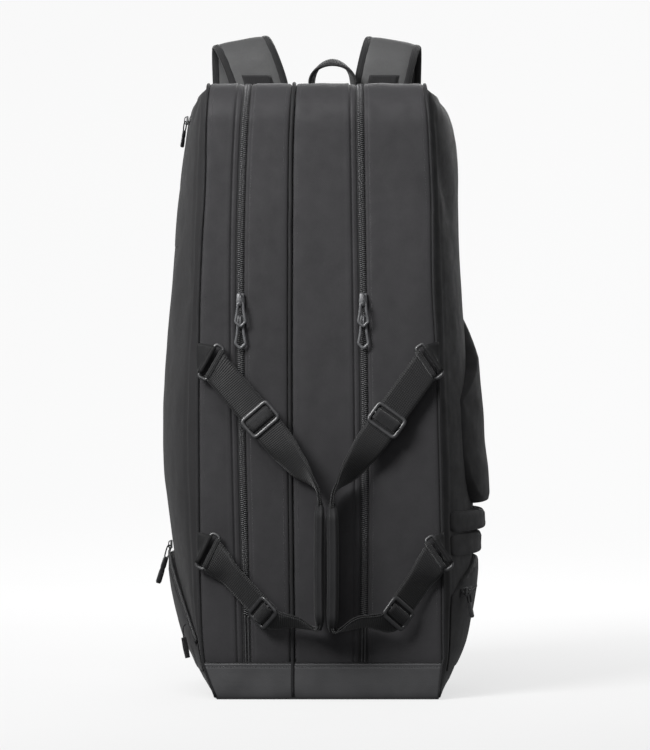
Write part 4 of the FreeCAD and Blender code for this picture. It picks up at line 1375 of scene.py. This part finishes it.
BOOT_PROFILE = [(0.0006, -0.0030), (0.002, -0.0008), (0.005, 0.0002), (0.010, 0.0006), (0.020, 0.0008),
                (0.030, 0.0008), (0.038, 0.0009), (0.0405, 0.0010), (0.0418, 0.0006), (0.0430, 0.0010),
                (0.0446, 0.0009), (0.0452, 0.0006)]  # height and how far the boot stands out
BASE_X = (-0.1335, 0.1405)


def edge_low(side, z):
    """The gusset's edge below the strips, where the boot narrows to the floor."""
    if side == "left":
        return float(np.interp(z, [0, 0.028, 0.044], [-0.134, -0.145, PIPE["left"](0.046)]))
    return float(np.interp(z, [0, 0.044, 0.048], [0.141, 0.1455, PIPE["right"](0.048)]))


def outer_x(side, z):
    """An edge seam's x from the floor to the top."""
    return edge_low(side, z) if z < (0.046 if side == "left" else 0.048) else PIPE[side](z)


def boot_and_base():
    """The coated boot round the front foot, its stitches, its top seam made dark as painted shade for the gap
    above the boot, and the base.
    """
    def wrap(row, s):
        z, out = row
        x0, x1 = PIPE["left"](z) if z > 0.044 else edge_low("left", z), edge_low("right", z)
        x = x0 + (x1 - x0) * s
        w = 0.0005 * noise.noise(Vector((x * 25, 1.0, z * 25)))
        return (x, FRONT - out - w, z), (x, FRONT + 0.003, z)

    def floor(y, s):
        x = BASE_X[0] + (BASE_X[1] - BASE_X[0]) * s
        e = min(x - BASE_X[0], BASE_X[1] - x, y - FRONT, BACK - y)
        return (x, y, 0.0004 + 0.0016 * math.exp(-e / 0.003)), (x, y, 0.0046)

    band = cloth_slab("boot_wrap", BOOT_PROFILE, np.linspace(0, 1, 90), wrap, "boot")
    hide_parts("boot_band")
    xs = np.linspace(edge_low("left", 0.041) + 0.004, edge_low("right", 0.041) - 0.004, 120)
    stitches = stitch_row("boot_stitches", [Vector((x, FRONT - 0.0012, 0.0412)) for x in xs],
                          [Vector((0, -1, 0))] * len(xs))
    ys = np.linspace(FRONT + 0.001, BACK - 0.001, 40)
    base = cloth_slab("base_cloth", ys, np.linspace(0, 1, 40), floor, "boot")
    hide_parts("base_panel")
    xs = np.linspace(edge_low("left", 0.0452) + 0.002, edge_low("right", 0.0452) - 0.002, 60)
    # painted shade: a dark cord just above the boot's top, the seam there made dark to stand in for the shade
    # in the gap between the boot and the strips
    seam = tube("boot_top_shade_seam", [(x, FRONT + 0.0003, 0.0462) for x in xs], 0.0010, "tape", 8)
    for o in (band, base, stitches, seam):
        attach(o, "core")


def divider():
    """The lining cloth between the two compartments, with its corner rounded like the bag's."""
    lo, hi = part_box("centre_divider")

    def point(z, s):
        y0 = FRONT + 0.006
        if z > TOP - TOP_R:
            y0 = FRONT + TOP_R - math.sqrt(max(0.0, (TOP_R - 0.0055) ** 2 - (z - TOP + TOP_R) ** 2))
        y = y0 + (hi.y - y0) * s
        x = PIPE["centre"](z) + 0.0012 * noise.noise(Vector((5.0, y * 12, z * 8)))
        return (x - 0.0013, y, z), (x + 0.0013, y, z)

    ob = cloth_slab("divider_cloth", np.linspace(lo.z, hi.z, 60), np.linspace(0, 1, 40), point, "lining")
    placed(ob, "centre_divider", "core")


# ---------------------------------------------------------------- build
for zip_side in ("left", "right"):
    gusset_strip(zip_side + "_outer_gusset", zip_side)
    gusset_strip(zip_side + "_inner_gusset", "core")
piping("left_edge_bead", partial(outer_x, "left"), "left_edge_piping", "left")
piping("centre_bead", PIPE["centre"], "centre_piping", "core")
piping("right_edge_bead", partial(outer_x, "right"), "right_edge_piping", "right")
for zip_side in ("left", "right"):
    for zip_part in (-1, 1):
        zip_half(zip_side, zip_part)
    for level in ("upper", "lower"):
        slider_piece(f"{zip_side}_{level}_slider")
        kite_pull(f"{zip_side}_{level}_pull")
    face_panel(zip_side)


SLIM = [(0.566, 0.0012), (0.733, 0.0012)]
SLIM_OUTLINE = rounded_rect(-0.110, 0.110, 0.566, 0.733, 0.03)
pocket("left_upper_pocket", "left", SLIM_OUTLINE, SLIM, 0.2, rim=0.0004, seed=1.0)
LOW = [(0.034, 0.001), (0.050, 0.0015), (0.062, 0.0045), (0.097, 0.0060), (0.130, 0.0085), (0.155, 0.0095),
       (0.177, 0.0060)]
OPENING = [(-0.146, 0.070), (-0.118, 0.104), (-0.076, 0.142), (-0.034, 0.166), (0.004, 0.177)]
LOW_OUTLINE = [(-0.146, 0.034)] + OPENING + [(0.104, 0.177), (0.126, 0.160), (0.134, 0.130), (0.134, 0.050),
                                             (0.120, 0.034)]
pocket("left_lower_pocket", "left", dense(LOW_OUTLINE), LOW, 0.4, rim=0.0012, seed=2.0)
BIG = [(0.236, 0.015), (0.244, 0.0205), (0.252, 0.0225), (0.285, 0.022), (0.320, 0.0188), (0.425, 0.0178),
       (0.450, 0.0115), (0.481, 0.0045), (0.504, 0.002)]
BIG_OUTLINE = [(-0.104, 0.300), (-0.104, 0.372), (-0.080, 0.392), (-0.050, 0.412), (-0.010, 0.444),
               (0.040, 0.480), (0.084, 0.498), (0.100, 0.496), (0.110, 0.484), (0.110, 0.280), (0.100, 0.250),
               (0.080, 0.240), (-0.050, 0.240), (-0.080, 0.250), (-0.097, 0.272)]
pocket("right_main_pocket", "right", dense(BIG_OUTLINE), BIG, 0.75, rim=0.0020, seed=4.0, rows=60)


WIDE = [(0.206, 0.013), (0.211, 0.0172), (0.227, 0.0162), (0.234, 0.012)]
LESS = [(0.175, 0.009), (0.181, 0.0122), (0.198, 0.0122), (0.205, 0.009)]
pads = [patch(f"rib_pad_{name}", None, "right", rounded_rect(-0.149, 0.118, z0, z1, 0.009), crowns, seed=seed,
              rows=30, cols=80, taper=pad_taper)
        for name, z0, z1, crowns, seed in (("upper", 0.207, 0.233, WIDE, 5.0),
                                           ("lower", 0.177, 0.204, LESS, 6.0))]
pads = join("rib_pads_cloth", pads)
inflate(pads, near_face("right", 0.0012), 2.0, 0.0012)
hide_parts("right_rib_pads")
on_shell(pads, "right")
FULL = [(0.034, 0.002), (0.060, 0.0058), (0.100, 0.0078), (0.130, 0.0090), (0.155, 0.0090), (0.173, 0.0078)]
FULL_OUTLINE = [(-0.146, 0.034), (-0.146, 0.128), (-0.112, 0.146), (-0.073, 0.158), (-0.040, 0.167),
                (0.004, 0.173), (0.104, 0.173), (0.126, 0.158), (0.134, 0.128), (0.134, 0.050),
                (0.120, 0.034)]
pocket("right_lower_pocket", "right", dense(FULL_OUTLINE), FULL, 0.4, rim=0.0015, seed=7.0)


pocket_zip("left_low_zip_trim", "left", OPENING,
           lambda y, z: 0.0012 + 0.0045 * min(1, (z - 0.060) / 0.10), 0.0068)
pocket_zip("right_low_zip_trim", "right", [(-0.128, 0.1305), (-0.09, 0.1325), (-0.04, 0.133), (0.06, 0.134),
                                            (0.118, 0.136)],
           lambda y, z: 0.0078 * min(1.0, (y + 0.150) / 0.05) ** 0.5)
pocket_zip("left_top_zip_trim", "left", [(-0.085, 0.7235), (-0.04, 0.7252), (0.02, 0.7256), (0.085, 0.7235)],
           lambda y, z: 0.0004)


tail("left_low_tail", "left", -0.128, 0.092, 0.0078, 0.026)
for name, side_name in (("left_top", "left"), ("left_low", "left"), ("right_low", "right")):
    side_slider(name + "_slider", side_name)
    side_pull(name + "_pull", side_name)
for bag_side in ("left", "right"):
    handle(bag_side)
    strap(bag_side)
anchors()
grab_handle()
spine()
boot_and_base()
divider()
board = NODES["base_board"]
board.data.materials.clear()
board.data.materials.append(M["board"])


# ---------------------------------------------------------------- floor, light and camera
STAGE_GLOW = (0.67, 0.88)  # at the front of the floor and at the wall
WORLD_LIGHT, WORLD_SEEN = 0.30, 0.93  # how bright the world lights the bag, and how bright it looks
DISTANCE = 4.5  # from the camera to the bag's front
VIEW_HEIGHT = 0.930  # what the frame spans at that distance
SENSOR = 36.0


def stage_mat():
    """Pale floor and wall: mostly self-lit, so they stay even, with enough paint to take the shadow.

    The wall's back is clear, so that it doesn't hide the bag from a camera behind it."""
    m, nt, bsdf = _mat("pale_floor")
    tc = nt.nodes.new("ShaderNodeTexCoord")
    tone = _noise(nt, tc.outputs["Object"], 1.5, 2.0)
    nt.links.new(_ramp(nt, tone, (0.13, 0.13, 0.13), (0.135, 0.135, 0.135)), bsdf.inputs["Base Color"])
    bsdf.inputs["Roughness"].default_value = 0.95
    bsdf.inputs["Specular IOR Level"].default_value = 0.0
    parts = nt.nodes.new("ShaderNodeSeparateXYZ")
    nt.links.new(tc.outputs["Object"], parts.inputs[0])
    away = nt.nodes.new("ShaderNodeMapRange")
    away.interpolation_type = "SMOOTHSTEP"
    for i, value in enumerate((-1.0, 2.6, *STAGE_GLOW), 1):
        away.inputs[i].default_value = value
    nt.links.new(parts.outputs["Y"], away.inputs[0])
    bsdf.inputs["Emission Color"].default_value = (1, 1, 1, 1)
    nt.links.new(away.outputs[0], bsdf.inputs["Emission Strength"])
    geo = nt.nodes.new("ShaderNodeNewGeometry")
    clear = nt.nodes.new("ShaderNodeBsdfTransparent")
    either = nt.nodes.new("ShaderNodeMixShader")
    nt.links.new(geo.outputs["Backfacing"], either.inputs[0])
    nt.links.new(bsdf.outputs[0], either.inputs[1])
    nt.links.new(clear.outputs[0], either.inputs[2])
    nt.links.new(either.outputs[0], nt.nodes["Material Output"].inputs["Surface"])
    return m


def backdrop():
    """A floor that curves up into a wall behind the bag."""
    near, bend, radius, top = -9.0, 2.2, 2.0, 9.0
    line = [(near, 0.0), (bend, 0.0)]
    for a in np.linspace(0, math.pi / 2, 24)[1:]:
        line.append((bend + radius * math.sin(a), radius * (1 - math.cos(a))))
    line.append((bend + radius, top))
    verts = [(x, y, z) for y, z in line for x in (-12, 12)]
    faces = [(2 * i, 2 * i + 1, 2 * i + 3, 2 * i + 2) for i in range(len(line) - 1)]
    ob = mesh_object("floor", verts, faces, stage_mat(), [(v[0], v[1]) for v in verts])
    ob.visible_diffuse = False
    ob.visible_glossy = False


backdrop()
world = bpy.data.worlds.new("studio")
world.use_nodes = True
bg = world.node_tree.nodes["Background"]
bg.inputs[0].default_value = (0.97, 0.98, 1.0, 1)
seen = world.node_tree.nodes.new("ShaderNodeLightPath")
strength = world.node_tree.nodes.new("ShaderNodeMapRange")
strength.inputs["To Min"].default_value = WORLD_LIGHT
strength.inputs["To Max"].default_value = WORLD_SEEN
world.node_tree.links.new(seen.outputs["Is Camera Ray"], strength.inputs["Value"])
world.node_tree.links.new(strength.outputs[0], bg.inputs[1])
bpy.context.scene.world = world


def area(name, loc, target, size, energy, spread=180):
    """A soft rectangular light that the camera doesn't see."""
    data = bpy.data.lights.new(name, "AREA")
    data.shape = "RECTANGLE"
    data.size, data.size_y = size
    data.energy = energy
    data.spread = math.radians(spread)
    ob = bpy.data.objects.new(name, data)
    bpy.context.scene.collection.objects.link(ob)
    ob.location = loc
    ob.rotation_euler = (Vector(target) - Vector(loc)).to_track_quat("-Z", "Y").to_euler()
    ob.visible_camera = False


area("key", (-1.40, -1.90, 1.80), (-0.14, -0.1, 0.84), (1.0, 0.9), 39, 92)
area("overhead", (-0.35, -1.10, 1.90), (-0.02, 0.0, 0.74), (1.2, 0.8), 13, 130)
area("rear", (0.3, 2.6, 1.6), (0.0, 0.15, 0.40), (2.2, 1.6), 24, 120)
area("side", (2.6, 0.9, 0.9), (0.1, 0.1, 0.40), (1.6, 1.6), 4.5, 140)
area("fill", (-0.2, -3.7, 0.85), (0.0, 0.0, 0.50), (2.0, 1.3), 11)

cam_data = bpy.data.cameras.new("camera")
cam = bpy.data.objects.new("camera", cam_data)
bpy.context.scene.collection.objects.link(cam)
cam.location = (0.0, FRONT - DISTANCE, 0.403)
cam.rotation_euler = (math.radians(90), 0, 0)
cam_data.sensor_fit = "VERTICAL"
cam_data.sensor_height = SENSOR
cam_data.lens = SENSOR * DISTANCE / VIEW_HEIGHT
cam_data.clip_end = 200
bpy.context.scene.camera = cam
bpy.context.scene.view_settings.view_transform = "Standard"
bpy.context.scene.view_settings.look = "None"
